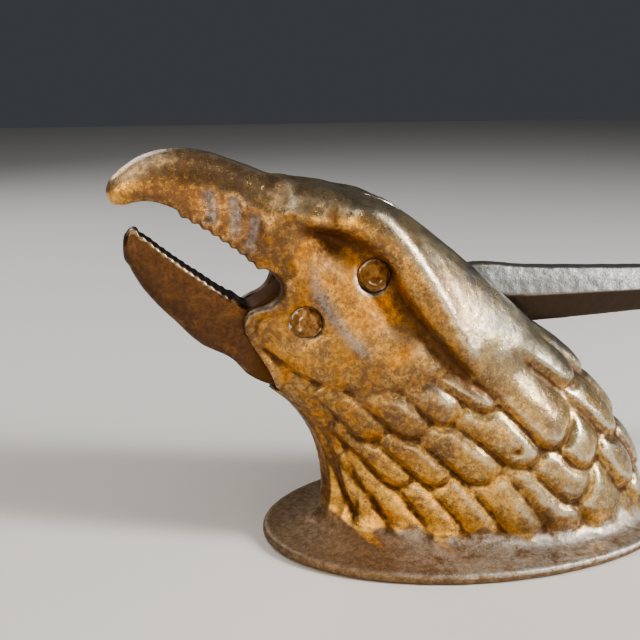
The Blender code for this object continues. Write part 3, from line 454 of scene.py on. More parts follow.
def one_feather(points, normals, root, tip, width, height):
    """A tongue-shaped feather on the skin: its height, 0 outside it, and the crevice round it."""
    run = tip - root
    length = np.linalg.norm(run)
    along = run / length
    middle = np.argmin(np.sum((points - (root + tip) / 2) ** 2, axis=-1))
    out = normals.reshape(-1, 3)[middle]
    out = out - along * (out @ along)
    out = out / np.linalg.norm(out)
    offset = points - root
    reach = offset @ along
    share = reach / length
    sideways = offset @ np.cross(out, along) - FEATHER_BEND * (1.0 - (2.0 * share - 1.0) ** 2)
    sideways = np.where(sideways > 0.0, sideways / UPPER_SPREAD, sideways)
    half = width / 2 * (0.90 + 0.18 * smooth(0.0, 0.7, share))
    beyond = np.maximum(reach - (length - width * 0.6), 0.0) / 1.2
    within = half - np.hypot(sideways, beyond)
    near = (np.abs(offset @ out) < 12.0) & (share > 0.0)

    # The lower edge is steep and the upper one flat, as it lies under its neighbour
    fill = np.clip(within / half, 0.0, 1.0)
    upper = smooth(-0.3, 0.9, sideways / half)
    edge = smooth(0.0, 0.32, fill) * (1.0 - upper) + smooth(0.0, 0.95, fill) * upper
    pillow = (0.26 * fill * (2.0 - fill) + 0.74 * edge) * (1.1 - 0.35 * upper)
    rise = 0.45 + 0.55 * smooth(0.05, 0.8, share)
    step = 0.45 * (1.0 - smooth(0.0, 1.0, sideways / half) * smooth(0.0, 0.5, 1.0 - share))
    body = np.where(near & (within > 0.0), 0.85 * height * rise * pillow + step, 0.0)
    crevice = np.exp(-((within + 0.4) / 0.65) ** 2) * smooth(0.08, 0.4, share) * (1.0 - 0.8 * upper)
    return body, np.where(near, crevice, 0.0)


def worn(relief, rounds):
    """Relief evened out over neighbouring points, as wear and the sand mould leave it."""
    for _ in range(rounds):
        around = np.roll(relief, 1, axis=1) + np.roll(relief, -1, axis=1)
        padded = np.pad(relief, ((1, 1), (0, 0)), mode="edge")
        relief = relief / 2 + around / 8 + (padded[:-2] + padded[2:]) / 8
    return relief


def feather_relief(rings, normals, from_crest):
    """Overlapping feathers of the neck, each row over the roots of the one below; both sides are alike."""
    mirror = np.where(rings[..., 1] > 0.0, -1.0, 1.0)
    folded = rings.copy()
    folded[..., 1] = -np.abs(folded[..., 1])
    out = normals.copy()
    out[..., 1] *= mirror
    side_points = rings.shape[1] // 2 + 1
    near = folded[:, :side_points]
    widest = np.argmax(np.abs(rings[..., 1]), axis=1)
    side_heights = rings[np.arange(len(rings)), widest, 2]

    def on_side(place):
        gap = (near[..., 0] - place[0]) ** 2 + (near[..., 2] - place[1]) ** 2
        row, column = np.unravel_index(np.argmin(gap), gap.shape)
        return near[row, column]

    def on_nape(reach, height):
        row = np.argmin(np.abs(side_heights - height))
        column = np.argmin(np.abs(from_crest[row, :side_points] - reach))
        return near[row, column]

    relief = np.zeros(rings.shape[:2])
    for side_row, nape_row in FEATHER_ROWS:
        row = [(on_side(root), on_side(tip), width, height) for root, tip, width, height in side_row]
        row += [(on_nape(reach + REAR_LENGTH, high), on_nape(reach, low), REAR_WIDTH, REAR_HEIGHT)
                for reach, high, low in nape_row]
        for feather in row:
            body, crevice = one_feather(folded, out, *feather)
            relief = np.where(body > 0.0, body, relief - CREVICE_DEPTH * crevice)
    return worn(relief, RELIEF_WEAR)


def tooth_line():
    """Outline of the teeth that hang from the roof of the mouth, from front to back."""
    start = np.array(TOOTH_START)
    way = np.array(TOOTH_END) - start
    down = np.array((way[1], -way[0])) / np.linalg.norm(way)
    share = np.linspace(0.0, 1.0, TEETH * TOOTH_STEPS + 1)[:, None]
    hang = TOOTH_DEPTH * np.abs(np.sin(math.pi * TEETH * share)) ** 0.7 - TOOTH_SAG * 4 * share * (1 - share)
    return [tuple(point) for point in start + way * share + down * hang]


def tooth_swell(x, z):
    """Swellings of the beak's side over its teeth."""
    gap, share = beside(tooth_line()[TOOTH_STEPS // 2::TOOTH_STEPS], x, z)
    swell = TOOTH_SWELL * np.cos(share * (TEETH - 1) * 2 * math.pi) * smooth(5.0, 0.5, np.abs(gap))
    return swell * smooth(0.0, 0.1, share) * smooth(1.0, 0.95, share)


def hood_and_head(x, z):
    """Where the hood of plain feathers lies, and the head as a whole, from 0 to 1."""
    over_brow, _ = beside(BROW_GROOVE, x, z)
    over_rear, _ = beside(HOOD_REAR, x, z)
    over_cheek, _ = beside(CHEEK_LOWER, x, z)
    soft = smooth(-12.0, 0.0, x)
    over_edge = over_rear * soft + over_brow * (1.0 - soft)
    hood = np.where(x > -12.0, smooth(-0.7 - 4.3 * soft, 1.8 + 4.2 * soft, over_edge),
                    smooth(-0.7, 1.8, over_brow) * smooth(-61.0, -56.0, x))
    face = smooth(-0.6, 1.0, over_cheek) * smooth(-8.0, -14.0, x)
    return hood, np.maximum(face, hood)


def head_relief(rings, normals, from_keel):
    """How far the modelled head stands out from its plain form at each point."""
    x, y, z = np.moveaxis(rings, -1, 0)
    hood, head = hood_and_head(x, z)
    from_crest = from_keel.max(axis=1, keepdims=True) - from_keel

    relief = feather_relief(rings, normals, from_crest) * smooth(2.6, 12.0, z) * smooth(4.0, 10.0, from_keel)
    streaks = np.cos(from_keel * 2 * math.pi / STREAK_PITCH + 0.9)
    streaks += 0.4 * np.cos(from_keel * 2 * math.pi / FINE_STREAK_PITCH + z * 0.05)
    throat = smooth(26.0, 8.0, from_keel) * smooth(47.0, 40.0, z) * smooth(3.0, 12.0, z)
    relief = (relief + STREAK_HEIGHT * streaks * throat) * (1.0 - head)

    form = head * HEAD_HEIGHT * smooth(-84.0, -62.0, x) + hood * HOOD_HEIGHT
    for line, height, above, below, fade in HEAD_RIDGES:
        form += ridge(line, x, z, height, above, below, fade)
    for centre, length, height, rise in HEAD_BUMPS:
        form += bump(x, z, centre, length, height, rise)
    form -= ridge(SOCKET_LINE, x, z, SOCKET_DEPTH, 5.0, 5.6, 0.25) * (1.0 - hood)
    form -= bump(x, z, PINCH, 9.0, 11.0, PINCH_DEPTH) * smooth(-54.0, -60.0, x)
    form += tooth_swell(x, z)
    relief += form * smooth(0.12, 0.55, np.abs(normals[..., 1]))

    relief -= bump(x, z, CASTING_PIT, 1.3, 1.0, PIT_DEPTH) * (y < 0.0)
    far_rim = (y > 0.0) * np.exp(-(from_crest / 9.5) ** 2) * smooth(60.0, 70.0, z)
    return relief + FAR_RIM_HEIGHT * far_rim * smooth(-34.0, -26.0, x) * smooth(-2.0, -9.0, x)


def add_to_scene(name, data):
    """An object made of some data, linked to the scene."""
    obj = bpy.data.objects.new(name, data)
    bpy.context.scene.collection.objects.link(obj)
    return obj


def ring_faces(rows, columns):
    """Quads between rings of points, with a cap at each end."""
    index = np.arange(rows * columns).reshape(rows, columns)
    after = np.roll(index, -1, axis=1)
    quads = np.stack([index[:-1], index[1:], after[1:], after[:-1]], axis=-1).reshape(-1, 4)
    return quads.tolist() + [index[0].tolist(), index[-1, ::-1].tolist()]


def solid_of_rings(name, rings):
    """A closed solid through rings of points in millimetres, its faces turned outwards."""
    rings = np.asarray(rings)
    mesh = bpy.data.meshes.new(name)
    mesh.from_pydata((rings.reshape(-1, 3) + (SHIFT, 0.0, 0.0)) * MM, [], ring_faces(*rings.shape[:2]))
    mesh.validate()
    body = bmesh.new()
    body.from_mesh(mesh)
    bmesh.ops.recalc_face_normals(body, faces=body.faces)
    body.to_mesh(mesh)
    body.free()
    return add_to_scene(name, mesh)


def slab(name, outline, half_width):
    """An outline of the side view, as thick as twice the half width."""
    return solid_of_rings(name, [[(x, y, z) for x, z in outline] for y in (-half_width, half_width)])


def whole_turn(steps):
    """Cosine and sine of even steps round a circle."""
    angles = [2 * math.pi * step / steps for step in range(steps)]
    return [(math.cos(angle), math.sin(angle)) for angle in angles]


def both_sides(side):
    """A profile of (radius, y) points for one side, with its mirror image before it."""
    return [(radius, -y) for radius, y in reversed(side)] + side


def turned(name, profile, centre, segments):
    """A solid turned about a line along Y: profile is (radius, y) from one end to the other."""
    return solid_of_rings(name, [
        [(centre[0] + radius * cosine, y, centre[1] + radius * sine) for cosine, sine in whole_turn(segments)]
        for radius, y in profile])


def modify(obj, kind, **settings):
    """Apply a modifier to an object's mesh."""
    modifier = obj.modifiers.new("shape", kind)
    for name, value in settings.items():
        setattr(modifier, name, value)
    graph = bpy.context.evaluated_depsgraph_get()
    graph.update()
    mesh = bpy.data.meshes.new_from_object(obj.evaluated_get(graph))
    obj.modifiers.clear()
    old = obj.data
    obj.data = mesh
    bpy.data.meshes.remove(old)


def combine(obj, other, operation='DIFFERENCE'):
    """Join a shape to an object, or take it away from it."""
    modify(obj, 'BOOLEAN', object=other, operation=operation, solver='EXACT')
    bpy.data.objects.remove(other, do_unlink=True)


def cast(obj, grain, rounds):
    """Melt an object's pieces into one skin with round edges."""
    modify(obj, 'REMESH', mode='VOXEL', voxel_size=grain * MM)
    if rounds:
        modify(obj, 'SMOOTH', factor=0.5, iterations=rounds)


def merged(first, second):
    """Two objects' meshes in one object."""
    body = bmesh.new()
    body.from_mesh(first.data)
    body.from_mesh(second.data)
    body.to_mesh(first.data)
    body.free()
    bpy.data.objects.remove(second, do_unlink=True)
    return first


def polar(centre, radius, angle):
    """Point in the side view at an angle in degrees from a centre."""
    turn = math.radians(angle)
    return (centre[0] + radius * math.cos(turn), centre[1] + radius * math.sin(turn))


def arc(centre, radius, first, last, steps):
    """Points on an arc in the side view, angles in degrees."""
    return [polar(centre, radius, first + (last - first) * i / steps) for i in range(steps + 1)]


def foot_plate():
    """The oval foot, thin at its worn rim and rising gently to the neck."""
    corner = FOOT_RIM_ROUND * (1 - math.sin(math.pi / 4))
    profile = [(FOOT_RIM_ROUND, 0.0), (corner, corner), (0.0, FOOT_RIM_ROUND),
               (0.0, FOOT_RIM - FOOT_RIM_ROUND), (corner, FOOT_RIM - corner), (FOOT_RIM_ROUND, FOOT_RIM)]
    for share in np.arange(1, 13) / 12:
        profile.append((FOOT_RIM_ROUND + FOOT_SLOPE * share, FOOT_RIM + FOOT_RISE * share ** 2))
    return solid_of_rings("foot_plate", [
        [((FOOT_LENGTH / 2 - inset) * cosine, (FOOT_WIDTH / 2 - inset) * sine, z)
         for cosine, sine in whole_turn(FOOT_SEGMENTS)] for inset, z in profile])


def head_core():
    """The hollow of the casting, open underneath."""
    hub_rear = PIVOT[0] + HUB_RADIUS + 1.0
    rings, _ = head_grid(40, 24, inset=WALL, front_limit=hub_rear, last=CORE_LAST_STATION)
    rings[..., 1] *= 1.0 - CORE_TAPER * smooth(52.0, 66.0, rings[..., 2])
    rings[0] = rings[1]
    rings[0, :, 2] = -FOOT_RIM
    return solid_of_rings("head_core", rings)


def mouth_shape():
    """What lies between the upper beak and the front edge of the cheeks."""
    outline = curved_outline(HOOK_EDGE)[:-1] + tooth_line() + curved_outline(MOUTH_RIM, 5)
    front = PIVOT[0] - 60.0
    low_x, low_z = MOUTH_RIM[-1]
    outline += [(low_x - 6.0, low_z - 1.5), (front, 30.0), (front, HOOK_EDGE[0][1] - 4.0)]
    return slab("mouth_shape", outline, FOOT_WIDTH)


def jaw_bay():
    """The gap between the cheeks that the root of the lower beak swings in."""
    outline = arc(PIVOT, ROOT_RADIUS + SWING_GAP, *ROOT_BAY, 40)
    outline += [(EYE[0] + 2.0, 52.0), (EYE[0] + 6.0, PIVOT[1]), (EYE[0] + 6.0, EYE[1] + 5.0),
                (EYE[0] - 5.0, EYE[1] + 5.0)]
    outline += arc(PIVOT, HUB_RADIUS + SWING_GAP, *HUB_BAY, 24)
    return slab("jaw_bay", outline, JAW_WIDTH / 2 + SIDE_GAP + 0.15)


def crest_slot():
    """The slot in the crest and nape that the lever comes out of."""
    floor = min(HANDLE_OUTLINE[1][0][1], HANDLE_OUTLINE[2][0][1]) - SEAT_GAP
    front_x, front_z = SLOT_FRONT
    above = front_z + SLOT_HEADROOM
    outline = [(front_x, above), (front_x - 5.0, front_z - 16.0), (-26.0, floor), (FOOT_LENGTH, floor),
               (FOOT_LENGTH, above)]
    return slab("crest_slot", outline, HANDLE_WIDTH / 2 + SLOT_SIDE_GAP)


def rivet_hole(centre, seat):
    """The hole through both cheeks, with a flat round seat for each rivet head."""
    bore = SHANK / 2 + BORE_GAP
    recess = RIVET_HEAD / 2 + SEAT_RELIEF + 0.1
    side = [(bore, seat), (recess, seat), (recess, FOOT_WIDTH / 2)]
    return turned("rivet_hole", both_sides(side), centre, 48)


def read(items, name, width, kind=float):
    """A property of a mesh's items, one row for each."""
    flat = np.empty(len(items) * width, dtype=kind)
    items.foreach_get(name, flat)
    return flat.reshape(-1, width)


def coordinates(mesh):
    """Vertex positions of a mesh in millimetres, in the modelling frame."""
    return read(mesh.vertices, "co", 3) / MM - (SHIFT, 0.0, 0.0)


def directions(mesh):
    """Vertex normals of a mesh."""
    return read(mesh.vertex_normals, "vector", 3)


def place(mesh, points):
    """Move a mesh's vertices to millimetre positions."""
    mesh.vertices.foreach_set("co", ((points + (SHIFT, 0.0, 0.0)) * MM).ravel())
    mesh.update()


def averaged(values, pairs, rounds):
    """Values evened out over the mesh by averaging each vertex with its neighbours."""
    here = pairs.ravel()
    there = pairs[:, ::-1].ravel()
    count = len(values)
    degree = np.maximum(np.bincount(here, minlength=count), 1)[:, None]
    for _ in range(rounds):
        total = np.stack([np.bincount(here, column[there], count) for column in values.T], axis=1)
        values = 0.5 * values + 0.5 * total / degree
    return values


def roughen(obj, height, size, seed):
    """Uneven skin of a sand casting, in millimetres."""
    mesh = obj.data
    points = coordinates(mesh)
    spots = [Vector(spot) for spot in points / size + (seed, 0.0, 0.0)]
    lift = np.array([noise.noise(spot) + 0.5 * noise.noise(spot * 2.3) for spot in spots])
    place(mesh, points + directions(mesh) * (lift * height)[:, None])


def note(mesh, name, values):
    """Keep a value per vertex for the material to read."""
    layer = mesh.attributes.new(name, 'FLOAT', 'POINT')
    layer.data.foreach_set("value", np.clip(values, 0.0, 1.0).astype(np.float32))


def note_hollows(obj, fine_rounds, broad_rounds, fine_reach, broad_reach):
    """Mark the hollow and the proud places of a skin, for dirt with painted shade, and for wear with painted
    highlights.
    """
    mesh = obj.data
    points = coordinates(mesh)
    normals = directions(mesh)
    pairs = read(mesh.edges, "vertices", 2, np.int64)
    fine = averaged(points, pairs, fine_rounds)
    broad = averaged(fine, pairs, broad_rounds)
    fine_step, broad_step = (
        averaged(np.einsum("ij,ij->i", even - points, normals)[:, None], pairs, 3)[:, 0]
        for even in (fine, broad))
    for name, sign, fine_share in (("hollow", 1.0, 0.6), ("proud", -1.0, 0.5)):
        note(mesh, name, smooth(0.0, fine_reach, sign * fine_step) * fine_share
             + smooth(0.0, broad_reach, sign * broad_step) * 0.6)
    return points, normals


def depth_under(surface, points):
    """How far points lie from a grid of rings, in millimetres."""
    tree = BVHTree.FromPolygons(surface.reshape(-1, 3).tolist(), ring_faces(*surface.shape[:2]))
    return np.array([tree.find_nearest(point)[3] for point in points.tolist()])


def note_wear_and_light(mesh, points, normals):
    """Olive crown, beak and bare foot of the head, and where warm light, warm highlights and a blue sheen are
    painted.
    """
    x, y, z = points.T
    facing, sideways, upward = normals.T
    crown = smooth(0.15, 0.75, upward) * smooth(40.0, 60.0, z)
    crown += smooth(-30.0, 10.0, x) * smooth(40.0, 62.0, z) * 0.75
    crown *= 0.35 * smooth(-84.0, -66.0, x) + 0.65 * smooth(-56.0, -38.0, x)
    note(mesh, "crown", crown * (1.0 - bump(x, z, BROW_KNOB, 3.4, 2.6, 0.8)))
    note(mesh, "beak", smooth(-60.0, -70.0, x) * smooth(-101.0, -93.0, x))
    note(mesh, "foot", smooth(8.5, 4.5, z + 1.5 * np.sin(x * 0.31) + np.sin(x * 0.83 + y * 0.4)))
    # Painted warm reflection from below and in front: on faces turned down, and more towards the beak
    note(mesh, "warm_light", smooth(0.30, -0.35, upward) * 0.8 + smooth(10.0, -50.0, x) * 0.3)

    # Painted warm highlights on the lower front of the neck, the beak's tip and the brow knob
    low_neck = smooth(36.0, 14.0, z) * smooth(16.0, -26.0, x) * smooth(-0.9, -0.55, facing)
    beak_tip = 0.8 * smooth(-90.0, -97.0, x) * smooth(0.95, 0.6, upward)
    knob = bump(x, z, BROW_KNOB, 3.0, 2.2, 1.0) * smooth(0.1, 0.4, np.abs(sideways))
    note(mesh, "warm_highlight", np.maximum.reduce((low_neck, beak_tip, knob)))

    # Painted blue reflection of the window along the cheekbone and the beak's folds
    streaks = [ridge(CHEEKBONE[1:7], x, z, 0.95, 1.6, 1.6, 0.2)]
    streaks += [ridge(line, x, z, 1.0, 1.3, 1.3, 0.2) for line in WRINKLES]
    note(mesh, "sheen", np.maximum.reduce(streaks) * smooth(0.15, 0.6, np.abs(sideways)))


def note_shade_and_dirt(mesh, points, normals):
    """Painted warm light in the socket, and painted shade with some grime in the creases and seats, under the
    brow and at the throat.
    """
    x, y, z = points.T
    facing, sideways, _ = normals.T
    over_brow, along_brow = beside(BROW_GROOVE, x, z)
    # Painted warm light in the socket under the brow
    note(mesh, "socket", ridge(SOCKET_LINE, x, z, 1.0, 6.0, 9.5, 0.05) * smooth(1.5, -1.0, over_brow))
    # Painted shadow under the brow; painted shade with some grime at the throat, crease, socket corner, pivot
    # seat, pit and lip
    brow_shadow = np.exp(-((over_brow + 1.3) / 2.4) ** 2)
    shade_and_grime = np.maximum.reduce((
        brow_shadow * smooth(0.0, 0.06, along_brow) * smooth(0.86, 0.70, along_brow),
        0.75 * smooth(-0.45, -0.80, facing) * smooth(50.0, 42.0, z) * smooth(4.0, 14.0, z),
        ridge(BEAK_CREASE, x, z, 0.9, 1.6, 1.6, 0.2),
        bump(x, z, (-48.0, 87.2), 6.6, 5.0, 1.0),
        bump(x, z, PIVOT, 6.4, 6.4, 0.5),
        bump(x, z, CASTING_PIT, 1.2, 1.0, 1.0) * (y < 0.0),
    ))
    lip = ridge(MOUTH_RIM[:7], x, z, 0.75, 1.6, 1.6, 0.05)
    note(mesh, "shade_and_grime", np.maximum(shade_and_grime * smooth(0.15, 0.6, np.abs(sideways)), lip))


def eagle_body():
    """The head, neck and foot as one hollow casting."""
    rings, from_keel = head_grid(HEAD_STATIONS, HEAD_SIDE_POINTS)
    normals = grid_normals(rings)
    relief = head_relief(rings, normals, from_keel)
    relief[0] = 0.0
    surface = rings + normals * relief[..., None]
    body = merged(solid_of_rings("head_casting", surface), foot_plate())
    cast(body, BLANK_GRAIN, 0)
    opening = mouth_shape()
    for cutter in (jaw_bay(), head_core(), crest_slot(), rivet_hole(PIVOT, PIVOT_SEAT),
                   rivet_hole(EYE, EYE_SEAT)):
        combine(opening, cutter, 'UNION')
    combine(body, opening)
    cast(body, BODY_GRAIN, 3)
    roughen(body, *BODY_SAND)
    mesh = body.data
    points = coordinates(mesh)
    points[:, 2] = np.maximum(points[:, 2], 0.0)
    place(mesh, points)

    points, normals = note_hollows(body, 7, 60, 0.14, 1.4)
    note_wear_and_light(mesh, points, normals)
    note_shade_and_dirt(mesh, points, normals)
    x, y, z = points.T
    # Painted shade on faces that lie inside the casting
    under_foot = smooth(1.0, 0.8, (x / 48.0) ** 2 + (y / 25.0) ** 2)
    sunk = smooth(1.1, 2.6, depth_under(surface, points))
    note(mesh, "shaded_inside", sunk * np.maximum(smooth(5.5, 7.5, z), under_foot))
    return body


def lever_stations():
    """Sections of the lever from beak to tip: lower and upper point, half width, kind of section."""
    jaw = [(low, high, share * JAW_WIDTH / 2, kind) for low, high, share, kind in JAW_OUTLINE]
    hub = [(polar(PIVOT, ROOT_RADIUS * low_share, low), polar(PIVOT, HUB_RADIUS * high_share, high),
            JAW_WIDTH / 2, 1.0) for low, low_share, high, high_share in HUB_OUTLINE]
    # At the end of the stroke the top of the neck meets the eye rivet
    to_eye = np.array(EYE) - PIVOT
    reach = math.hypot(*to_eye)
    stop_angle = math.degrees(math.atan2(*to_eye[::-1]) - math.asin((SHANK / 2 + 2 * SEAT_GAP) / reach))
    top = polar(PIVOT, reach, stop_angle - STROKE)
    neck = [((top[0] - 2.0, top[1] - NECK_DEPTH), top, HANDLE_WIDTH / 2, 1.5)]
    handle = [(low, high, share * HANDLE_WIDTH / 2, kind) for low, high, share, kind in HANDLE_OUTLINE]
    return jaw + hub + neck + handle


def lever_grid():
    """Rings of points along the lever, with teeth along the top of its beak."""
    lower, upper, half_widths, kinds = (np.array(column) for column in zip(*lever_stations()))
    knots = chord_lengths((lower + upper) / 2)
    where = np.linspace(0.0, knots[-1], LEVER_STATIONS)
    front, rear = JAW_TOOTH_SPAN
    teeth = int(round(np.linalg.norm(upper[rear] - upper[front]) / JAW_TOOTH_PITCH))
    phase = (where - knots[front]) / (knots[rear] - knots[front]) * teeth
    bites = np.where((phase > 0) & (phase < teeth), np.abs(np.sin(math.pi * phase)) ** 0.8, 0.0)
    shapes = [np.array(shape) for shape in (JAW_SECTION, HUB_SECTION, HANDLE_SECTION)]
    rings = []
    for bottom, crown, half_width, kind, bite in zip(
            curve_through(knots, lower, where), curve_through(knots, upper, where),
            np.interp(where, knots, half_widths), np.clip(np.interp(where, knots, kinds), 0.0, 2.0), bites):
        first = min(int(kind), 1)
        profile = shapes[first] * (1 - kind + first) + shapes[first + 1] * (kind - first)
        chord = crown - bottom
        length = np.linalg.norm(chord)
        heights, widths, _ = even_half(
            (profile[:, 0] + 1) / 2 * length, profile[:, 1] * half_width, LEVER_SIDE_POINTS)
        bitten = 1 - JAW_TOOTH_DEPTH * bite / length
        rings.append(full_ring(bottom, chord / length, heights * bitten, widths))
    return np.array(rings)


def jaw_lever():
    """The lever with its lower beak."""
    lever = solid_of_rings("lever_casting", lever_grid())
    bore = SHANK / 2 + BORE_GAP
    combine(lever, turned("hub_bore", [(bore, -JAW_WIDTH), (bore, JAW_WIDTH)], PIVOT, 48))
    cast(lever, LEVER_GRAIN, 2)
    roughen(lever, *LEVER_SAND)
    mesh = lever.data
    points = coordinates(mesh)
    points[:, 0] = np.minimum(points[:, 0], HANDLE_END_X - 0.02)
    place(mesh, points)
    points, normals = note_hollows(lever, 5, 30, 0.09, 0.6)
    jaw = smooth(-24.0, -34.0, points[:, 0])
    note(mesh, "jaw", jaw)
    # Painted shade on the lever's root between the cheeks
    note(mesh, "shaded_inside", jaw * smooth(-69.0, -64.0, points[:, 0]))
    # Painted shade on the lever's faces turned down
    note(mesh, "underside_shade", smooth(0.14, -0.04, normals[:, 2]))
    return lever


def hammered(points, normals, centre, inner, seed):
    """A rivet's points with flats, a crescent, a dent and lumps on its heads, and with an uneven edge."""
    x, y, z = (points - (centre[0], 0.0, centre[1])).T
    on_head = smooth(0.1, 0.6, np.abs(y) - inner)
    radius = np.hypot(x, z)
    angle = np.arctan2(z, x)
    flats = 0.22 * np.cos(2.0 * angle + seed + np.where(y < 0, 0.0, 2.1)) * smooth(0.5, 3.0, radius)
    crescent = 0.35 * np.exp(-((radius - 2.1) / 0.55) ** 2) * smooth(0.2, 0.9, np.cos(angle - 2.6 - seed))
    dent = -0.24 * np.exp(-((x + 0.6) ** 2 + (z - 0.3) ** 2) / 1.2)
    lumps = 0.22 * np.array([noise.noise(Vector(point)) for point in points / 1.3 + (seed, 0.0, 0.0)])
    points = points + normals * np.minimum((flats + crescent + dent + lumps) * on_head, 0.3)[:, None]
    worn_edge = 0.035 + 0.025 * np.sin(3.0 * angle + seed) + 0.02 * np.sin(7.0 * angle + 2.0 * seed)
    shrink = 1.0 - worn_edge * on_head * smooth(2.0, 4.0, radius)
    for axis, middle in zip((0, 2), centre):
        points[:, axis] = middle + (points[:, axis] - middle) * shrink
    return points


def rivet(name, centre, seat, seed):
    """A through rivet whose ends are hammered into low uneven heads."""
    inner = seat + SEAT_GAP
    outer = RIVET_HEAD / 2 + RIVET_SPREAD
    rise = RIVET_HEAD_HEIGHT - RIVET_RIM
    dome = [(outer * math.cos(a), inner + RIVET_RIM + rise * math.sin(a)) for a in np.linspace(0.0, 1.45, 14)]
    obj = turned(name, both_sides([(SHANK / 2, inner), (outer, inner)] + dome), centre, 64)
    cast(obj, RIVET_GRAIN, 2)
    mesh = obj.data
    place(mesh, hammered(coordinates(mesh), directions(mesh), centre, inner, seed))
    note_hollows(obj, 6, 30, 0.06, 0.35)
    return obj


class Paint:
    """A material whose node tree is written as expressions."""

    def __init__(self, name):
        self.material = bpy.data.materials.new(name)
        self.material.use_nodes = True
        self.tree = self.material.node_tree
        self.shader = self.tree.nodes["Principled BSDF"]
        self.space = self.node("TexCoord", "Object", {})

    def node(self, kind, output, inputs, **settings):
        """The output of a new node, with values or links on its inputs."""
        made = self.tree.nodes.new("ShaderNode" + kind)
        for name, value in settings.items():
            setattr(made, name, value)
        for name, value in inputs.items():
            self.feed(value, made.inputs[name])
        return made.outputs[output]

    def feed(self, value, socket):
        """Link an output to a socket, or set a number or a colour on it."""
        if isinstance(value, tuple):
            socket.default_value = (*value, 1.0)
        elif isinstance(value, float):
            socket.default_value = value
        else:
            self.tree.links.new(value, socket)

    def notes(self, *names):
        """The values kept per vertex under these names."""
        return [self.node("Attribute", "Fac", {}, attribute_name=name) for name in names]

    def noise(self, scale, detail, roughness, distortion=0.0):
        return self.node("TexNoise", "Fac", {"Vector": self.space, "Scale": scale, "Detail": detail,
                                             "Roughness": roughness, "Distortion": distortion})

    def ramp(self, source, low, high, bottom=0.0, top=1.0):
        """Smooth change from bottom where the source is low to top where it is high."""
        return self.node("MapRange", "Result", {
            "Value": source, "From Min": low, "From Max": high, "To Min": bottom, "To Max": top},
            interpolation_type='SMOOTHSTEP')

    def chain(self, kind, values):
        """One operation over several values, clamped to 0 to 1 unless it subtracts."""
        result = values[0]
        for value in values[1:]:
            result = self.node("Math", 0, {0: result, 1: value}, operation=kind, use_clamp=kind != 'SUBTRACT')
        return result

    def times(self, *values):
        return self.chain('MULTIPLY', values)

    def plus(self, *values):
        return self.chain('ADD', values)

    def most(self, *values):
        return self.chain('MAXIMUM', values)

    def mix(self, share, first, second):
        """Two colours mixed by a share; the node's colour sockets have these places."""
        return self.node("Mix", 2, {0: share, 6: first, 7: second}, data_type='RGBA')

    def mottled(self, source, low, high, colours):
        """A pair of colours, from dark where the source is low to light where it is high."""
        return self.mix(self.ramp(source, low, high), *colours)

    def over(self, skin, layer, *shares):
        """A layer over the skin, as strong as the product of its shares."""
        return self.mix(self.times(*shares), skin, layer)

    def finish(self, skin, rough, metallic, height, strength, depth):
        """Colour, roughness and fine bumps on the shader; depth in metres."""
        normal = self.node("Bump", "Normal", {"Strength": strength, "Distance": depth, "Height": height})
        looks = {"Base Color": skin, "Roughness": rough, "Metallic": metallic, "Normal": normal}
        for name, value in looks.items():
            self.feed(value, self.shader.inputs[name])
        return self.material


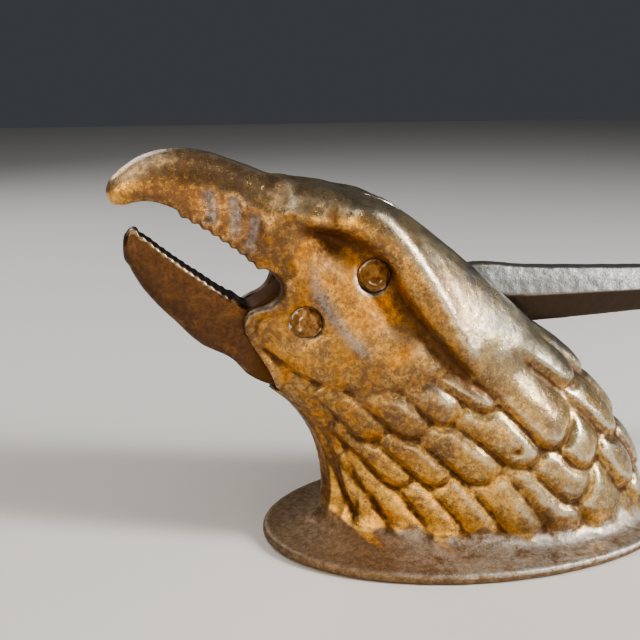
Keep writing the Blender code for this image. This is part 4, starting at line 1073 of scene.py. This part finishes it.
def gilt_iron():
    """Gold bronze paint worn over dark cast iron, grey and olive where rubbed, with warm light, highlights
    and shade painted on.
    """
    paint = Paint("worn_gilt_iron")
    ramp = paint.ramp
    over = paint.over
    hollow, proud, crown, foot, warm_light, shaded_inside, shade_and_grime, sheen, socket, beak, warm_highlight = paint.notes(
        "hollow", "proud", "crown", "foot", "warm_light", "shaded_inside", "shade_and_grime", "sheen", "socket", "beak", "warm_highlight")
    broad = paint.noise(60.0, 5.0, 0.60, 0.6)
    patch = paint.noise(150.0, 6.0, 0.66, 0.5)
    mottle = paint.noise(680.0, 6.0, 0.70)
    speck = paint.noise(1300.0, 4.0, 0.65)
    grain = paint.noise(2300.0, 3.0, 0.6)
    scratch = paint.noise(900.0, 5.0, 0.8, 1.6)

    glow = paint.mottled(mottle, 0.34, 0.66, GLOW)
    # The foot's plate turns ashen away from the painted warm light
    plate = over(paint.mottled(mottle, 0.38, 0.64, PLATE), paint.mottled(mottle, 0.38, 0.64, ASHEN),
                 ramp(warm_light, 0.31, 0.12), ramp(patch, 0.32, 0.54))
    skin = paint.mottled(mottle, 0.34, 0.66, GOLD)
    for layer, *shares in (
            # Painted warm reflection on faces turned down, painted warm highlights and painted warm light in
            # the socket, with tarnish and clouds of brown
            (glow, warm_light, ramp(patch, 0.30, 0.60, 0.35, 1.0)),
            (WARM_HIGHLIGHT_GILT, warm_highlight, ramp(mottle, 0.34, 0.60, 0.5, 1.0)),
            (glow, socket, ramp(patch, 0.30, 0.56, 0.55, 1.0)),
            (paint.mottled(speck, 0.35, 0.65, TARNISH), ramp(patch, 0.58, 0.42), ramp(mottle, 0.64, 0.40),
             ramp(socket, 0.0, 1.0, 1.0, 0.3), 0.6),
            (BROWN_CLOUD, ramp(broad, 0.54, 0.42, 0.0, 0.75), ramp(mottle, 0.66, 0.40, 0.40, 1.0),
             ramp(paint.most(socket, warm_highlight), 0.0, 0.6, 1.0, 0.0)),
            (DULL_BEAK, beak, ramp(mottle, 0.62, 0.40, 0.42, 0.95)),
            # Places that hands have rubbed, grey and olive; over them a painted pale highlight, grey laid on
            # more towards the window's light, and a painted blue reflection
            (PALE_HIGHLIGHT, ramp(warm_light, 0.46, 0.16, 0.0, 0.75), ramp(proud, 0.0, 0.3)),
            (paint.mottled(mottle, 0.38, 0.62, GREY), ramp(proud, 0.15, 0.9, 0.0, 0.9),
             ramp(patch, 0.38, 0.60), ramp(warm_light, 0.36, 0.80, 1.0, 0.35), ramp(beak, 0.0, 1.0, 1.0, 0.45),
             ramp(warm_highlight, 0.0, 0.8, 1.0, 0.25)),
            (BLUE_SHEEN, sheen, ramp(mottle, 0.36, 0.58, 0.2, 0.8)),
            (paint.mottled(patch, 0.35, 0.65, OLIVE), crown, ramp(broad, 0.32, 0.58, 0.45, 0.95)),
            # Bare plate of the foot
            (plate, ramp(paint.plus(foot, paint.times(patch, 0.6)), 0.5, 1.1)),
    ):
        skin = over(skin, layer, *shares)

    # Scratches, pits, dirt with painted shade in the hollows, painted shade with grime, and painted shade
    # inside, over all of it
    lines = paint.times(ramp(scratch, 0.42, 0.34), ramp(patch, 0.40, 0.60, 0.25, 0.85))
    pits = paint.times(ramp(grain, 0.47, 0.32), ramp(patch, 0.62, 0.40, 0.35, 0.9))
    dirt_and_shade = paint.times(ramp(hollow, 0.08, 0.55), ramp(mottle, 0.70, 0.35, 0.75, 1.0),
                       ramp(sheen, 0.0, 0.5, 1.0, 0.15))
    shade_and_grime = paint.times(ramp(shade_and_grime, 0.15, 0.95, 0.0, 0.9), ramp(mottle, 0.70, 0.35, 0.7, 1.0))
    for share, colour in ((lines, SCRATCH), (pits, PITS), (dirt_and_shade, DIRT_AND_SHADE), (shade_and_grime, GRIME_AND_SHADE), (shaded_inside, INSIDE_SHADE)):
        skin = over(skin, colour, share)

    dull = paint.most(dirt_and_shade, shaded_inside, shade_and_grime, foot)
    rough = paint.plus(ramp(mottle, 0.3, 0.7, 0.36, 0.23), paint.times(dull, 0.24), paint.times(crown, 0.03),
                       paint.times(socket, 0.16))
    gloss = paint.chain('SUBTRACT', (1.0, paint.most(dull, socket)))
    paint.feed(paint.times(gloss, 0.12), paint.shader.inputs["Coat Weight"])
    paint.feed(0.34, paint.shader.inputs["Coat Roughness"])
    height = paint.plus(paint.times(speck, 0.5), paint.times(grain, 0.45))
    height = paint.chain('SUBTRACT', (height, paint.times(lines, 0.35)))
    return paint.finish(skin, rough, 0.8, height, 0.42, 0.0003)


def lever_iron():
    """Dark brown bronze on the lower beak, grey iron on the handle, with painted shade underneath and inside
    the mouth.
    """
    paint = Paint("brown_bronzed_iron")
    ramp = paint.ramp
    over = paint.over
    hollow, proud, jaw, shaded_inside, underside_shade = paint.notes("hollow", "proud", "jaw", "shaded_inside", "underside_shade")
    patch = paint.noise(150.0, 6.0, 0.66, 0.4)
    mottle = paint.noise(850.0, 5.0, 0.74)
    grain = paint.noise(2000.0, 3.0, 0.6)
    brown = over(paint.mottled(mottle, 0.30, 0.70, BRONZE), LIGHT_BRONZE, ramp(patch, 0.55, 0.72, 0.0, 0.7))
    # Painted shade on the faces turned down
    iron = over(paint.mottled(mottle, 0.35, 0.65, BARE_IRON), UNDERSIDE_SHADE, underside_shade)
    skin = over(iron, brown, jaw)
    skin = over(skin, RUBBED_EDGE, ramp(proud, 0.5, 1.0), ramp(mottle, 0.35, 0.6, 0.3, 1.0))
    skin = over(skin, LEVER_DIRT, ramp(hollow, 0.1, 0.9, 0.0, 0.8))
    # Painted shade on the root between the cheeks
    skin = over(skin, LEVER_ROOT_SHADE, shaded_inside)
    skin = over(skin, LEVER_PITS, ramp(grain, 0.40, 0.30), 0.6)
    rough = paint.plus(ramp(mottle, 0.3, 0.7, 0.46, 0.32), paint.times(shaded_inside, 0.4))
    height = paint.plus(paint.times(mottle, 0.6), paint.times(grain, 0.35))
    return paint.finish(skin, rough, 0.82, height, 0.4, 0.0003)


def rivet_iron():
    """Hammered rivet ends: brown tarnish with glints of bare metal."""
    paint = Paint("peened_rivet_iron")
    ramp = paint.ramp
    hollow, proud = paint.notes("hollow", "proud")
    patch = paint.noise(420.0, 5.0, 0.66)
    grain = paint.noise(1900.0, 3.0, 0.6)
    skin = paint.over(paint.mottled(patch, 0.36, 0.62, RIVET_BROWN), RIVET_GLINT, ramp(proud, 0.3, 0.9))
    skin = paint.over(skin, RIVET_DIRT, ramp(hollow, 0.12, 0.8))
    return paint.finish(skin, ramp(proud, 0.1, 0.8, 0.58, 0.36), 0.85, paint.plus(patch, grain), 0.8, 0.0004)


def finish_piece(obj, name, material, body, cad_node):
    """Name a piece, give it its material, and put it in its CAD node's place."""
    obj.name = name
    obj.data.materials.clear()
    obj.data.materials.append(material)
    obj.data.shade_smooth()
    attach(obj, body)
    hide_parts(cad_node)


def area_light(name, place_at, width, height, power, colour):
    """A soft panel light aimed at the middle of the object."""
    data = bpy.data.lights.new(name, 'AREA')
    data.shape = 'RECTANGLE'
    data.size = width
    data.size_y = height
    data.energy = power
    data.color = colour
    obj = add_to_scene(name, data)
    obj.location = place_at
    obj.rotation_euler = (Vector(LIGHT_AIM) - Vector(place_at)).to_track_quat('-Z', 'Y').to_euler()


def stage():
    """Pale floor, soft lights, and the camera where the photograph was taken from."""
    scene = bpy.context.scene
    data = bpy.data.meshes.new("floor")
    corners = [(FLOOR_REACH * x, FLOOR_REACH * y, 0.0) for x, y in ((-1, -1), (1, -1), (1, 1), (-1, 1))]
    data.from_pydata(corners, [], [(0, 1, 2, 3)])
    floor = add_to_scene("floor", data)
    floor.location.z = -FLOOR_DROP
    pale = bpy.data.materials.new("pale_floor")
    pale.use_nodes = True
    shader = pale.node_tree.nodes["Principled BSDF"]
    shader.inputs["Base Color"].default_value = FLOOR_COLOUR
    shader.inputs["Roughness"].default_value = 0.75
    data.materials.append(pale)

    world = bpy.data.worlds.new("studio")
    world.use_nodes = True
    background = world.node_tree.nodes["Background"]
    background.inputs["Color"].default_value = ROOM_COLOUR
    background.inputs["Strength"].default_value = ROOM_STRENGTH
    scene.world = world
    for light in LIGHTS:
        area_light(*light)
    scene.view_settings.look = 'AgX - Medium High Contrast'

    data = bpy.data.cameras.new("camera")
    data.sensor_width = 36.0
    data.lens = CAMERA_LENS
    data.clip_start = 0.01
    scene.camera = add_to_scene("camera", data)
    angles = Euler((math.radians(90.0 - CAMERA_TILT), 0.0, math.radians(CAMERA_TURN)))
    scene.camera.matrix_world = Matrix.LocRotScale(Vector(CAMERA_PLACE), angles, None)


gilt = gilt_iron()
brown = lever_iron()
steel = rivet_iron()
finish_piece(eagle_body(), "head_casting", gilt, "body", "eagle_body")
finish_piece(jaw_lever(), "lever_casting", brown, "jaw_lever", "jaw_lever")
finish_piece(rivet("pivot_rivet_ends", PIVOT, PIVOT_SEAT, 0.4), "pivot_rivet_ends", steel,
             "body", "jaw_pivot_rivet")
finish_piece(rivet("eye_rivet_ends", EYE, EYE_SEAT, 2.2), "eye_rivet_ends", steel,
             "body", "eye_rivet")
stage()
